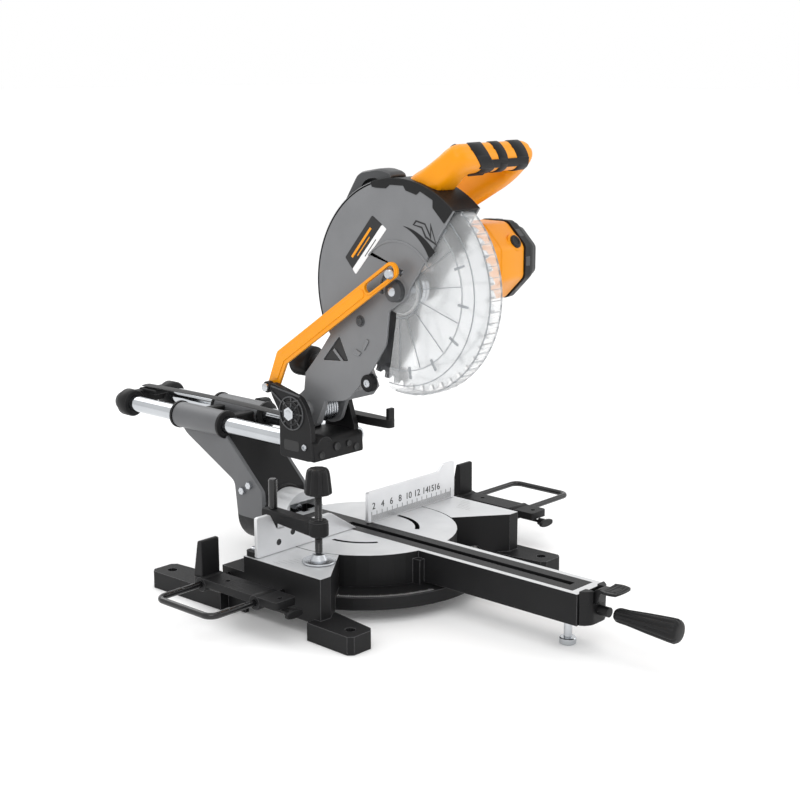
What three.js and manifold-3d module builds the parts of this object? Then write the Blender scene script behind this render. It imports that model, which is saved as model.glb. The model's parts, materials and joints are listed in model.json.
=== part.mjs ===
// A 255 mm sliding miter saw, built the way the machine is built.
//
// The frame is in millimetres: X runs along the fence, Y to the back, Z up. The turntable turns about
// X = 0, Y = 0 and the feet stand on Z = 0; at the end the whole machine is moved so that the middle of
// its footprint is the origin. The head is drawn raised and the carriage a little forward of half way.

import * as THREE from "three";
import { mergeVertices } from "three/addons/utils/BufferGeometryUtils.js";
import Module from "manifold-3d";

const wasm = await Module();
wasm.setup();

// ---------------------------------------------------------------- driving dimensions

const GAP = 0.3; // between faces that touch
const RUN = 0.5; // running clearance of anything that turns or slides

const TABLE_Z = 74.5; // work surface above the bench
const TABLE_R = 119; // turntable radius
const DRUM_BOTTOM = 33.5; // lower edge of the turntable's wall
const PLATE = 8; // thickness of the cast tops
const WALL = 6; // thickness of the cast walls
const RING_R = 157; // base ring
const RING_BOTTOM = 16.5;

const BLOCK_X = 188.5; // outer side of the two fixed tables
const BLOCK_FRONT = -104;
const BLOCK_REAR = 30;
const FOOT_X = 184; // bolt holes of the feet
const FOOT_FRONT = -148;
const FOOT_REAR = 174;
const FOOT_H = 22.5;
const FOOT_HALF = 20;
const FOOT_HOLE = 6.5;

const ARM_HALF = 27.4; // the turntable's front arm
const ARM_FRONT = -358;
const ARM_BOTTOM = 36;
const INSERT_HALF = 19.8; // kerf insert
const INSERT_FRONT = -346;
const INSERT_REAR = 100;
const INSERT_T = 4;
const KERF_HALF = 5;
const KERF_REAR = 30;

const FENCE_Y = 7; // the fence's working face
const FENCE_T = 5;
const FENCE_TOP_RIGHT = 117;
const FENCE_TOP_LEFT = 105;
const FENCE_STEP = 126.5;
const FENCE_INNER = 11;
const BLADE_LEAN = 47; // the left half slopes back to let the tilted blade by

const NECK_START = 117; // where the turntable's neck clears the base ring
const BEVEL_REAR = 152; // where the bevel arm meets the turntable's neck
const BEVEL_BOLT_R = 6;
const CUP_Z = 62;
const CUP_R = 42;
const CUP_LENGTH = 54;

const RAIL_X = 38; // slide rails
const RAIL_Z = 182.7;
const RAIL_R = 11.5;
const RAIL_FRONT = 50;
const RAIL_REAR = 452;
const SLEEVE_R = RAIL_R + 6.5;
const SLEEVE_FRONT = 230;
const SLEEVE_REAR = 323;
const COLLAR = 5; // wiper collars at the sleeves' ends
const LINER_R = RAIL_R + 2.5;

const PIVOT_Y = 75; // head hinge
const PIVOT_Z = 226;
const PIVOT_R = 7;
const EAR_Y = 121.5; // where the link is pinned to the bracket
const EAR_Z = 254;
const BRACKET_LEFT = -60;
const LINK_X = -49;
const LINK_T = 4;
const LINK_W = 21;

const BLADE_Y = -83; // blade centre, head raised
const BLADE_Z = 398;
const BLADE_R = 127.5;
const BLADE_T = 2.4;
const TEETH = 48;
const ARBOR_R = 8;
const LOWER_R = 131.5; // lower guard
const UPPER_R = 136; // upper guard
const GUARD_LEFT = -32; // outer face of the upper guard
const GUARD_RIGHT = 18;
const GUARD_WALL = 3;
const LINK_PIN_R = 23.5; // how far the link's pin is from the blade's axis
const LINK_PIN_ANGLE = 101.7; // and its direction, head raised
const LINK_PIN_RADIUS = 2.5;
const SLOT_HALF = 6.2; // the pin wanders sideways in the slot as the head goes down
const SLOT_SIDE = 2.85; // how far the slot's middle line lies to one side of the raised pin
const SLOT_START = 2.5; // and how far the slot starts beyond it
const SLOT_LENGTH = 44;

const MOTOR_Y = -106; // motor axis
const MOTOR_Z = 425;
const MOTOR_R = 49;
const MOTOR_START = 46;
const MOTOR_END = 140;
const CAP_END = 166;

const GRIP_LEFT = -22; // D-handle, measured along X
const GRIP_RIGHT = 125;
const HANDLE_TILT = 43; // its loop leans forward, degrees from level
const HANDLE_T = 34;

const CLAMP_X = -143;
const CLAMP_POST_Y = 24;
const CLAMP_POST_R = 5.5;
const CLAMP_POST_BOTTOM = 45;
const CLAMP_POST_TOP = 165; // low enough for the tilted guard to pass over it
const CLAMP_SCREW_Y = -56;
const CLAMP_ARM_Z = 109;
const KNOB_BOTTOM = 161;
const KNOB_TOP = 193;

const WIRE_R = 4; // extension wires
const WIRE_Z = 43;
const WIRE_FRONT = -40;
const WIRE_REAR = 58;
const SHELF_REAR = WIRE_REAR + 12;

// Smaller parts
const LEVER_Y = ARM_FRONT - 10;
const LEVER_Z = TABLE_Z - 7;
const LOCK_Z = ARM_BOTTOM + 16;
const GRIP_START = -397;
const GRIP_END = -479;
const CUP_FRONT = BEVEL_REAR + RUN;
const CUP_BACK = CUP_FRONT + CUP_LENGTH;
const CUP_FLOOR = 14;
const YOKE_FRONT = 432;
const YOKE_BACK = 446;
const STOP_X = 44;
const STOP_Y = 68;
const STOP_Z = 201;
const STOP_T = 11;
const STOP_PIN_R = 4;
const HUB_Y = BLADE_Y;
const HUB_Z = BLADE_Z;
const GUARD_FROM = -24; // the upper guard's rim, degrees from the back
const GUARD_TO = 131;
const RIM_STEPS = 20;
const FLANGE_T = 5;
const GEAR_X0 = 30;
const GEAR_X1 = 40;
const LOWER_LEFT = -26.5;
const LOWER_RIGHT = 11;
const LOWER_WALL = 2.2;
const LOWER_FROM = 112;
const LOWER_TO = 279;
const BEND_Y = 104;
const BEND_Z = 294;
const HANDLE_Y = -62;
const HANDLE_Z = 470;
const HANDLE_V = 146; // how far up the slope the top of the grip is
const GRIP_DEPTH = 34;
const TRIGGER_FROM = 30;
const TRIGGER_TO = 62;
const LOCK_U = 2;
const LOCK_V = HANDLE_V - 18;

// ---------------------------------------------------------------- finishes

function finish(color, roughness, metalness) {
  return new THREE.MeshStandardMaterial({ color, roughness, metalness });
}
const blackCasting = () => finish("#232323", 0.55, 0.2);
const greyCasting = () => finish("#707172", 0.45, 0.5);
const machined = () => finish("#d9dadb", 0.35, 0.9);
const steel = () => finish("#c8cacc", 0.25, 1);
const chrome = () => finish("#e6e8ea", 0.12, 1);
const blackPlastic = () => finish("#1b1b1b", 0.5, 0);
const yellowPlastic = () => finish("#f8a205", 0.4, 0);
const yellowPaint = () => finish("#f39b06", 0.35, 0.3);
const clearPlastic = () => {
  const clear = finish("#eef2f4", 0.08, 0);
  clear.transparent = true;
  clear.opacity = 0.4;
  return clear;
};
const rubber = () => finish("#161616", 0.8, 0);
const copper = () => finish("#b0683a", 0.35, 0.9);

// ---------------------------------------------------------------- geometry helpers

const deg = (angle) => (angle * Math.PI) / 180;

function solid(geometry) {
  const bare = geometry.clone();
  bare.deleteAttribute("normal");
  bare.deleteAttribute("uv");
  const merged = mergeVertices(bare, 1e-4);
  return new wasm.Manifold(
    new wasm.Mesh({
      numProp: 3,
      vertProperties: new Float32Array(merged.attributes.position.array),
      triVerts: new Uint32Array(merged.index.array),
    }),
  );
}

function geometryOf(manifold) {
  const mesh = manifold.getMesh();
  const geometry = new THREE.BufferGeometry();
  geometry.setAttribute("position", new THREE.BufferAttribute(new Float32Array(mesh.vertProperties), 3));
  geometry.setIndex(new THREE.BufferAttribute(new Uint32Array(mesh.triVerts), 1));
  return geometry;
}

const join = (...pieces) => geometryOf(pieces.map(solid).reduce((sum, piece) => sum.add(piece)));

function cut(piece, ...tools) {
  const rest = tools.map(solid).reduce((left, tool) => left.subtract(tool), solid(piece));
  return geometryOf(rest);
}

// A box given by its lowest and highest corners.
function block(x0, y0, z0, x1, y1, z1) {
  const box = new THREE.BoxGeometry(x1 - x0, y1 - y0, z1 - z0);
  return box.translate((x0 + x1) / 2, (y0 + y1) / 2, (z0 + z1) / 2);
}

// Round bars along each axis; the end radii may differ.
function barZ(x, y, z0, z1, r0, r1 = r0, sides = 24) {
  const bar = new THREE.CylinderGeometry(r1, r0, z1 - z0, sides).rotateX(Math.PI / 2);
  return bar.translate(x, y, (z0 + z1) / 2);
}

function barY(x, z, y0, y1, r0, r1 = r0, sides = 24) {
  return new THREE.CylinderGeometry(r1, r0, y1 - y0, sides).translate(x, (y0 + y1) / 2, z);
}

function barX(y, z, x0, x1, r0, r1 = r0, sides = 24) {
  const bar = new THREE.CylinderGeometry(r1, r0, x1 - x0, sides).rotateZ(-Math.PI / 2);
  return bar.translate((x0 + x1) / 2, y, z);
}

function outline(points) {
  return new THREE.Shape(points.map(([a, b]) => new THREE.Vector2(a, b)));
}

// A plan outline raised from z0 to z1.
// The same outline, counter-clockwise.
function upright(points) {
  const turned = THREE.ShapeUtils.isClockWise(outline(points).getPoints());
  return turned ? points.slice().reverse() : points;
}

function slabZ(points, z0, z1) {
  const slab = new THREE.ExtrudeGeometry(outline(points), { depth: z1 - z0, bevelEnabled: false });
  return slab.translate(0, 0, z0);
}

// A side outline of (y, z) points carried from x0 to x1.
function slabX(points, x0, x1) {
  const turned = new THREE.Matrix4().makeBasis(
    new THREE.Vector3(0, 1, 0),
    new THREE.Vector3(0, 0, 1),
    new THREE.Vector3(1, 0, 0),
  );
  const geometry = new THREE.ExtrudeGeometry(outline(points), { depth: x1 - x0, bevelEnabled: false });
  return geometry.applyMatrix4(turned).translate(x0, 0, 0);
}

// A front outline of (x, z) points carried from y0 to y1.
function slabY(points, y0, y1) {
  const geometry = new THREE.ExtrudeGeometry(outline(points), { depth: y1 - y0, bevelEnabled: false });
  return geometry.rotateX(Math.PI / 2).translate(0, y1, 0);
}

function polar(cx, cy, radius, angle) {
  return [cx + radius * Math.cos(deg(angle)), cy + radius * Math.sin(deg(angle))];
}

// Points on an arc, angles in degrees.
function arc(cx, cy, radius, from, to, steps) {
  return Array.from({ length: steps + 1 }, (_, i) => polar(cx, cy, radius, from + ((to - from) * i) / steps));
}

// A ring sector, for curved slots and guard rims.
function sector(cx, cy, inner, outer, from, to, steps) {
  return [...arc(cx, cy, outer, from, to, steps), ...arc(cx, cy, inner, to, from, steps)];
}

// A round rod bent through a list of (x, y, z) points with round corners.
function rod(points, radius, corner, sides = 6) {
  const path = new THREE.CurvePath();
  const at = points.map((p) => new THREE.Vector3(...p));
  let start = at[0];
  for (let i = 1; i < at.length - 1; i += 1) {
    const before = at[i].clone().add(start.clone().sub(at[i]).setLength(corner));
    const after = at[i].clone().add(at[i + 1].clone().sub(at[i]).setLength(corner));
    path.add(new THREE.LineCurve3(start, before));
    path.add(new THREE.QuadraticBezierCurve3(before, at[i], after));
    start = after;
  }
  path.add(new THREE.LineCurve3(start, at[at.length - 1]));
  const section = outline(arc(0, 0, radius, 0, 360 - 360 / sides, sides - 1));
  return new THREE.ExtrudeGeometry(section, { steps: points.length * 6, extrudePath: path, bevelEnabled: false });
}

// A toothed wheel lying in the YZ plane.
function wheel(y, z, x0, x1, teeth, root, tip, phase = 0) {
  const points = [];
  for (let i = 0; i < teeth; i += 1) {
    const step = 360 / teeth;
    const at = phase + i * step;
    points.push(polar(y, z, root, at - step * 0.28));
    points.push(polar(y, z, tip, at - step * 0.1));
    points.push(polar(y, z, tip, at + step * 0.1));
    points.push(polar(y, z, root, at + step * 0.28));
  }
  return slabX(points, x0, x1);
}

const machine = new THREE.Group();

function put(name, geometry, material, parent = machine) {
  const mesh = new THREE.Mesh(geometry, material);
  mesh.name = name;
  parent.add(mesh);
  return mesh;
}

// ---------------------------------------------------------------- base

const mirrored = (points, side) => (side > 0 ? points : points.map(([x, y]) => [-x, y]).reverse());

// One fixed table: a hollow block whose inner side follows the turntable.
function fixedTable(side) {
  const gapR = TABLE_R + 1.5;
  const rim = arc(0, 0, gapR, Math.asin(BLOCK_REAR / gapR) * (180 / Math.PI), -27, 8);
  const plan = [[BLOCK_X, BLOCK_REAR], ...rim, [BLOCK_X - 17, BLOCK_FRONT], [BLOCK_X, BLOCK_FRONT]].reverse();
  const inside = [
    [BLOCK_X - WALL, BLOCK_REAR - WALL],
    [gapR + WALL + 4, BLOCK_REAR - WALL],
    [gapR + WALL, -20],
    [BLOCK_X - 20, BLOCK_FRONT + 2 * WALL],
    [BLOCK_X - WALL, BLOCK_FRONT + 2 * WALL],
  ].reverse();
  const outer = slabZ(mirrored(plan, side), RING_BOTTOM, TABLE_Z);
  return cut(outer, slabZ(mirrored(inside, side), RING_BOTTOM - 1, TABLE_Z - PLATE));
}

// The lower rear shelf of a fixed table, which carries the extension's rear wire.
function rearShelf(side) {
  const x = [side * (BLOCK_X - 62), side * BLOCK_X].sort((a, b) => a - b);
  const outer = block(x[0], BLOCK_REAR - 1, 0.5, x[1], SHELF_REAR, WIRE_Z + 11);
  const hollow = block(x[0] + WALL, BLOCK_REAR - 2, -1, x[1] - WALL, SHELF_REAR - WALL, WIRE_Z + 11 - WALL);
  return cut(outer, hollow);
}

function foot(side, y, inner) {
  const reach = Math.sign(y) * FOOT_HALF;
  const plan = [
    [side * (FOOT_X + FOOT_HALF), y + reach * 0.7],
    [side * (FOOT_X + FOOT_HALF * 0.7), y + reach],
    [side * (FOOT_X - FOOT_HALF * 0.7), y + reach],
    [side * (FOOT_X - FOOT_HALF), y + reach * 0.7],
    [side * (FOOT_X - FOOT_HALF * 1.5), inner],
    [side * (FOOT_X + FOOT_HALF * 0.9), inner],
  ];
  return slabZ(upright(plan), 0, FOOT_H);
}

function baseCasting() {
  const pieces = [
    barZ(0, 0, RING_BOTTOM, DRUM_BOTTOM - RUN, RING_R, RING_R, 48),
    fixedTable(1),
    fixedTable(-1),
    rearShelf(1),
    rearShelf(-1),
    block(-BLOCK_X + 20, 24, RING_BOTTOM, BLOCK_X - 20, 46, DRUM_BOTTOM - RUN),
  ];
  for (const side of [-1, 1]) {
    pieces.push(foot(side, FOOT_FRONT, BLOCK_FRONT + 10));
    pieces.push(foot(side, FOOT_REAR, BLOCK_REAR + 30));
  }
  const tools = [
    slabZ(sector(0, 0, NECK_START - 3, RING_R + 5, 32, 148, 14), RING_BOTTOM - 1, DRUM_BOTTOM + 1),
    barZ(0, 0, RING_BOTTOM - 1, DRUM_BOTTOM - PLATE - RUN, RING_R - WALL, RING_R - WALL, 48),
    barZ(0, 0, 0, TABLE_Z, 6 + GAP),
  ];
  for (let i = 0; i < 6; i += 1) {
    const angle = deg(30 + i * 60);
    tools.push(barZ(80 * Math.cos(angle), 80 * Math.sin(angle), 0, DRUM_BOTTOM, 22, 22, 16));
  }
  for (const side of [-1, 1]) {
    for (const y of [FOOT_FRONT, FOOT_REAR]) {
      tools.push(barZ(side * FOOT_X, y, -1, FOOT_H + 1, FOOT_HOLE, FOOT_HOLE, 14));
      tools.push(barZ(side * FOOT_X, y, -1, FOOT_H - 9, FOOT_HOLE + 5, FOOT_HOLE + 5, 14));
    }
    for (const y of [WIRE_FRONT, WIRE_REAR]) {
      const x = [side * (BLOCK_X - 78.5), side * (BLOCK_X + 1)].sort((a, b) => a - b);
      tools.push(barX(y, WIRE_Z, x[0], x[1], WIRE_R + RUN, WIRE_R + RUN, 12));
    }
  }
  const post = barZ(CLAMP_X, CLAMP_POST_Y, 40, TABLE_Z, CLAMP_POST_R + 4.5, CLAMP_POST_R + 4.5, 14);
  const cleared = cut(join(...pieces), ...tools);
  const boss = join(cleared, post, barZ(0, 0, RING_BOTTOM, DRUM_BOTTOM - RUN, 12));
  return cut(
    boss,
    barZ(CLAMP_X, CLAMP_POST_Y, 44, TABLE_Z + 1, CLAMP_POST_R + GAP, CLAMP_POST_R + GAP, 14),
    barZ(0, 0, 0, TABLE_Z, 6 + GAP),
    barZ(0, 0, RING_BOTTOM - 1, RING_BOTTOM + 6, 11),
  );
}

put("base_casting", baseCasting(), blackCasting());

// A fence half: face plate with a raised outer end, and a foot that is screwed to the fixed table.
function fence(side, top) {
  const face = [
    [FENCE_INNER, TABLE_Z + GAP],
    [BLOCK_X - 2, TABLE_Z + GAP],
    [BLOCK_X - 2, FENCE_STEP],
    [BLOCK_X - 24, FENCE_STEP],
    [BLOCK_X - 36, top],
    [side > 0 ? FENCE_INNER + 5 : FENCE_INNER + BLADE_LEAN, top],
    [FENCE_INNER, side > 0 ? top - 4 : TABLE_Z + 1.5],
  ];
  const plate = slabY(mirrored(face, side), FENCE_Y, FENCE_Y + FENCE_T);
  const footX = [side * (TABLE_R + 6), side * (BLOCK_X - 2)].sort((a, b) => a - b);
  const pad = block(footX[0], FENCE_Y, TABLE_Z + GAP, footX[1], BLOCK_REAR - 1, TABLE_Z + GAP + 7);
  const holes = [TABLE_R + 18, BLOCK_X - 12].map((x) =>
    barZ(side * x, FENCE_Y + 15, TABLE_Z - 1, TABLE_Z + 9, 3 + GAP, 3 + GAP, 12),
  );
  if (side < 0) {
    holes.push(barZ(CLAMP_X, CLAMP_POST_Y, TABLE_Z - 1, TABLE_Z + 9, CLAMP_POST_R + 1.5, CLAMP_POST_R + 1.5, 12));
  }
  return cut(join(plate, pad), ...holes);
}

put("fence_left", fence(-1, FENCE_TOP_LEFT), machined());
put("fence_right", fence(1, FENCE_TOP_RIGHT), machined());

const hexagon = (x, y, z0, z1, radius) => barZ(x, y, z0, z1, radius, radius, 6);

// ---------------------------------------------------------------- turntable

function turntable() {
  const drum = barZ(0, 0, DRUM_BOTTOM, TABLE_Z, TABLE_R, TABLE_R, 48);
  const arm = block(-ARM_HALF, ARM_FRONT, ARM_BOTTOM, ARM_HALF, -60, TABLE_Z);
  const shoulders = block(-ARM_HALF - 8, -TABLE_R - 6, DRUM_BOTTOM, ARM_HALF + 8, -60, TABLE_Z - 9);
  const neck = join(
    barY(0, CUP_Z, NECK_START, BEVEL_REAR, CUP_R - 4, CUP_R - 4, 36),
    block(-CUP_R + 8, 90, DRUM_BOTTOM, CUP_R - 8, NECK_START + 1, TABLE_Z - 2),
  );
  const hollow = [
    barZ(0, 0, DRUM_BOTTOM - 1, TABLE_Z - PLATE, TABLE_R - WALL, TABLE_R - WALL, 48),
    block(-ARM_HALF + WALL, ARM_FRONT + WALL, ARM_BOTTOM - 3, ARM_HALF - WALL, -60, TABLE_Z - PLATE),
    block(-KERF_HALF - 7, INSERT_FRONT + 8, TABLE_Z - PLATE - 1, KERF_HALF + 7, KERF_REAR + 8, TABLE_Z + 1),
    block(
      -INSERT_HALF - GAP,
      INSERT_FRONT - GAP,
      TABLE_Z - INSERT_T - GAP,
      INSERT_HALF + GAP,
      INSERT_REAR + GAP,
      TABLE_Z + 1,
    ),
  ];
  const slots = [-1, 1].map((side) => {
    const points = sector(0, 0, 64, 70, side > 0 ? -56 : 184, side > 0 ? 4 : 236, 8);
    return slabZ(points, TABLE_Z - PLATE - 1, TABLE_Z + 1);
  });
  const shell = cut(join(drum, arm, shoulders, neck), ...hollow, ...slots);
  const hub = join(
    barZ(0, 0, DRUM_BOTTOM, TABLE_Z - PLATE - 8, 14),
    block(-TABLE_R + 4, -5, DRUM_BOTTOM + 1, TABLE_R - 4, 5, TABLE_Z - PLATE - 8),
  );
  const pocket = block(-26, 116, 34 + WALL, 26, BEVEL_REAR - 14, TABLE_Z + 12);
  return cut(
    join(shell, hub),
    barZ(0, 0, 0, TABLE_Z - PLATE, 6 + GAP),
    barZ(0, 0, TABLE_Z - PLATE - 14, TABLE_Z - PLATE, 11.6),
    pocket,
    block(-26, 116, 20, 26, BEVEL_REAR - 14, 60),
    barY(0, TABLE_Z, 110, BEVEL_REAR + 1, BEVEL_BOLT_R + GAP, BEVEL_BOLT_R + GAP, 16),
    barY(0, ARM_BOTTOM + 16, ARM_FRONT - 1, ARM_FRONT + WALL + 1, 6 + RUN, 6 + RUN, 16),
    barZ(0, -327, ARM_BOTTOM - 1, TABLE_Z - PLATE + 1, 4 + GAP, 4 + GAP, 12),
  );
}

put("turntable", turntable(), blackCasting());

function kerfInsert() {
  const plate = block(-INSERT_HALF, INSERT_FRONT, TABLE_Z - INSERT_T, INSERT_HALF, INSERT_REAR, TABLE_Z);
  return cut(plate, block(-KERF_HALF, INSERT_FRONT + 14, TABLE_Z - PLATE, KERF_HALF, KERF_REAR, TABLE_Z + 1));
}

put("kerf_insert", kerfInsert(), blackPlastic());

function pivotBolt() {
  const top = TABLE_Z - PLATE - 14 + GAP;
  return join(barZ(0, 0, RING_BOTTOM + 1, top + 1, 6), barZ(0, 0, top, top + 6, 11, 11, 6));
}

put("turntable_pivot_bolt", pivotBolt(), steel());

// The end of the arm: a cast cover with a window through which the detent lever works.
function armEndCover() {
  const back = ARM_FRONT - GAP;
  const plan = [
    [-ARM_HALF + 2, back],
    [-ARM_HALF + 8, back - 8],
    [-12, back - 12],
    [12, back - 12],
    [ARM_HALF - 8, back - 8],
    [ARM_HALF - 2, back],
  ];
  const shell = slabZ(plan, ARM_BOTTOM, TABLE_Z + 3);
  return cut(
    shell,
    barY(0, ARM_BOTTOM + 16, back - 20, back + 1, 6 + RUN, 6 + RUN, 16),
    block(-9, back - 20, ARM_BOTTOM + 22, 9, back - 3, TABLE_Z + 4),
  );
}

put("arm_end_cover", armEndCover(), blackPlastic());

// The detent lever hinges about X inside the cover; its thumb plate reaches over the handle.

function detentLever() {
  const side = [
    [LEVER_Y + 5, LEVER_Z - 4],
    [LEVER_Y + 5, LEVER_Z + 4],
    [LEVER_Y - 4, LEVER_Z + 12],
    [LEVER_Y - 34, LEVER_Z + 14],
    [LEVER_Y - 34, LEVER_Z + 11],
    [LEVER_Y - 8, LEVER_Z + 7],
    [LEVER_Y - 4, LEVER_Z - 8],
  ].reverse();
  const stem = slabX(side.slice().reverse(), -8, 8);
  const plate = slabX(
    [
      [LEVER_Y - 14, LEVER_Z + 11.5],
      [LEVER_Y - 34, LEVER_Z + 11.5],
      [LEVER_Y - 34, LEVER_Z + 14.5],
      [LEVER_Y - 14, LEVER_Z + 14.5],
    ].reverse(),
    -18,
    18,
  );
  return join(stem, plate);
}

put("detent_lever", detentLever(), blackPlastic());

// Miter lock: a threaded rod through the arm's end, turned by a fluted grip.

function fluted(y0, y1, r0, r1, flutes) {
  const body = barY(0, LOCK_Z, y1, y0, r1, r0, 24);
  const grooves = Array.from({ length: flutes }, (_, i) => {
    const angle = deg((360 / flutes) * i);
    const radius = r1 + 0.6;
    const length = y0 - y1 - 16;
    const groove = new THREE.CylinderGeometry(2, 2, length, 6);
    return groove.translate(radius * Math.cos(angle), (y0 + y1) / 2 - 2, LOCK_Z + radius * Math.sin(angle));
  });
  return cut(body, ...grooves);
}

put("miter_lock_handle", join(
  barY(0, LOCK_Z, GRIP_START - 10, -300, 6, 6, 16),
  fluted(GRIP_START, GRIP_END, 8, 14.5, 12),
), rubber());

function supportBolt() {
  const foot = barZ(0, -327, 2, 6, 8, 8, 14);
  const nut = hexagon(0, -327, ARM_BOTTOM - 8, ARM_BOTTOM - GAP, 8);
  return join(barZ(0, -327, 5, ARM_BOTTOM + 8, 4, 4, 12), foot, nut);
}

put("arm_support_bolt", supportBolt(), chrome());

// ---------------------------------------------------------------- bevel arm

function bevelArm() {
  const side = [
    [CUP_FRONT, CUP_Z],
    [CUP_FRONT, 100],
    [SLEEVE_FRONT, 176],
    [SLEEVE_REAR - 12, 176],
    [306, 166],
    [200, 108],
    [200, CUP_Z],
  ].reverse();
  const web = [
    [CUP_FRONT, 88],
    [CUP_FRONT, 101],
    [SLEEVE_FRONT, 178],
    [SLEEVE_FRONT + 10, 178],
    [SLEEVE_FRONT + 10, 168],
    [CUP_FRONT + 12, 92],
  ].reverse();
  const pieces = [barY(0, CUP_Z, CUP_FRONT, CUP_BACK, CUP_R, CUP_R, 36), slabX(web, -40, 40)];
  pieces.push(slabX(side, -CUP_R, -CUP_R + 8));
  pieces.push(slabX(side, CUP_R - 8, CUP_R));
  for (const x of [-RAIL_X, RAIL_X]) {
    pieces.push(barY(x, RAIL_Z, SLEEVE_FRONT, SLEEVE_REAR, SLEEVE_R, SLEEVE_R, 24));
  }
  pieces.push(block(-RAIL_X, SLEEVE_FRONT + 8, 172, RAIL_X, SLEEVE_FRONT + 20, 190));
  pieces.push(block(-RAIL_X, SLEEVE_REAR - 24, 172, RAIL_X, SLEEVE_REAR - 12, 190));
  const tools = [
    barY(0, CUP_Z, CUP_FRONT + CUP_FLOOR, CUP_BACK + 1, CUP_R - WALL, CUP_R - WALL, 36),
    barY(0, TABLE_Z, CUP_FRONT - 1, CUP_FRONT + CUP_FLOOR + 1, BEVEL_BOLT_R + GAP, BEVEL_BOLT_R + GAP, 16),
  ];
  for (const x of [-RAIL_X, RAIL_X]) {
    tools.push(barY(x, RAIL_Z, SLEEVE_FRONT - 20, SLEEVE_FRONT, SLEEVE_R + 1.5, SLEEVE_R + 1.5, 24));
    tools.push(barY(x, RAIL_Z, SLEEVE_FRONT - 1, SLEEVE_REAR + 1, LINER_R + GAP, LINER_R + GAP, 24));
  }
  return cut(join(...pieces), ...tools);
}

put("bevel_arm", bevelArm(), greyCasting());

function bevelPivotBolt() {
  const seat = CUP_FRONT + CUP_FLOOR + GAP;
  return join(
    barY(0, TABLE_Z, BEVEL_REAR - 26, seat + 6, BEVEL_BOLT_R, BEVEL_BOLT_R, 16),
    barY(0, TABLE_Z, seat, seat + 6, 11, 11, 16),
  );
}

put("bevel_pivot_bolt", bevelPivotBolt(), steel());

// The bevel lock lever turns on the bolt's tail, behind the cup.
function bevelLever() {
  const hubStart = CUP_FRONT + CUP_FLOOR + GAP + 6 + GAP;
  const hub = barY(0, TABLE_Z, hubStart, CUP_BACK + 14, 9, 9, 16);
  const handle = rod(
    [
      [0, CUP_BACK + 9, TABLE_Z],
      [26, CUP_BACK + 12, TABLE_Z - 6],
      [70, CUP_BACK + 30, TABLE_Z - 16],
    ],
    4.5,
    10,
  );
  const knob = new THREE.SphereGeometry(10, 14, 8).translate(74, CUP_BACK + 31, TABLE_Z - 17);
  return join(hub, handle, knob);
}

put("bevel_lock_lever", bevelLever(), blackPlastic());

// A plain liner in each sleeve, with a wiper collar at both ends.
for (const [side, x] of [["left", -RAIL_X], ["right", RAIL_X]]) {
  const front = SLEEVE_FRONT - GAP;
  const rear = SLEEVE_REAR + GAP;
  const liner = cut(
    join(
      barY(x, RAIL_Z, front - COLLAR, rear + COLLAR, LINER_R, LINER_R, 24),
      barY(x, RAIL_Z, front - COLLAR, front, SLEEVE_R + 0.5, SLEEVE_R + 0.5, 24),
      barY(x, RAIL_Z, rear, rear + COLLAR, SLEEVE_R + 0.5, SLEEVE_R + 0.5, 24),
    ),
    barY(x, RAIL_Z, front - COLLAR - 1, rear + COLLAR + 1, RAIL_R + RUN, RAIL_R + RUN, 24),
  );
  put(`slide_liner_${side}`, liner, blackPlastic());
}

// The slide lock presses on the right rail through the sleeve.
function slideLock() {
  const y = (SLEEVE_FRONT + SLEEVE_REAR) / 2;
  const start = RAIL_X + SLEEVE_R + GAP;
  return join(
    barX(y, RAIL_Z, start, start + 12, 4, 4, 12),
    cut(
      barX(y, RAIL_Z, start + 10, start + 28, 13, 12, 20),
      ...Array.from({ length: 8 }, (_, i) => {
        const angle = deg(i * 45);
        return barX(y + 14 * Math.cos(angle), RAIL_Z + 14 * Math.sin(angle), start + 9, start + 29, 3, 3, 8);
      }),
    ),
  );
}

put("slide_lock_knob", slideLock(), blackPlastic());

// ---------------------------------------------------------------- sliding carriage

for (const [side, x] of [["left", -RAIL_X], ["right", RAIL_X]]) {
  const tube = cut(
    barY(x, RAIL_Z, RAIL_FRONT, RAIL_REAR, RAIL_R, RAIL_R, 24),
    barY(x, RAIL_Z, RAIL_FRONT - 1, RAIL_REAR + 1, RAIL_R - 3, RAIL_R - 3, 16),
  );
  put(`rail_${side}`, tube, chrome());
}

function railYoke() {
  const pieces = [block(-RAIL_X, YOKE_FRONT, 178, RAIL_X, YOKE_BACK, 199)];
  pieces.push(block(-16, YOKE_FRONT - 26, 194, 6, YOKE_BACK, 201));
  for (const x of [-RAIL_X, RAIL_X]) {
    pieces.push(barY(x, RAIL_Z, YOKE_FRONT - 2, YOKE_BACK + 2, SLEEVE_R, SLEEVE_R, 24));
  }
  const bore = RAIL_R + GAP;
  const bores = [-RAIL_X, RAIL_X].map((x) => barY(x, RAIL_Z, YOKE_FRONT - 3, YOKE_BACK + 3, bore, bore, 24));
  return cut(join(...pieces), ...bores);
}

put("rail_yoke", railYoke(), blackCasting());

// A thin strip over the sleeves guides the lead from the yoke to the head.
put("cable_guide", block(-14, 106, 201 + GAP, 4, YOKE_BACK - 4, 204.5), blackPlastic());

// Stop arm for cuts of a set depth: it swings out of the way about an upright pin on the bracket.

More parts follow.
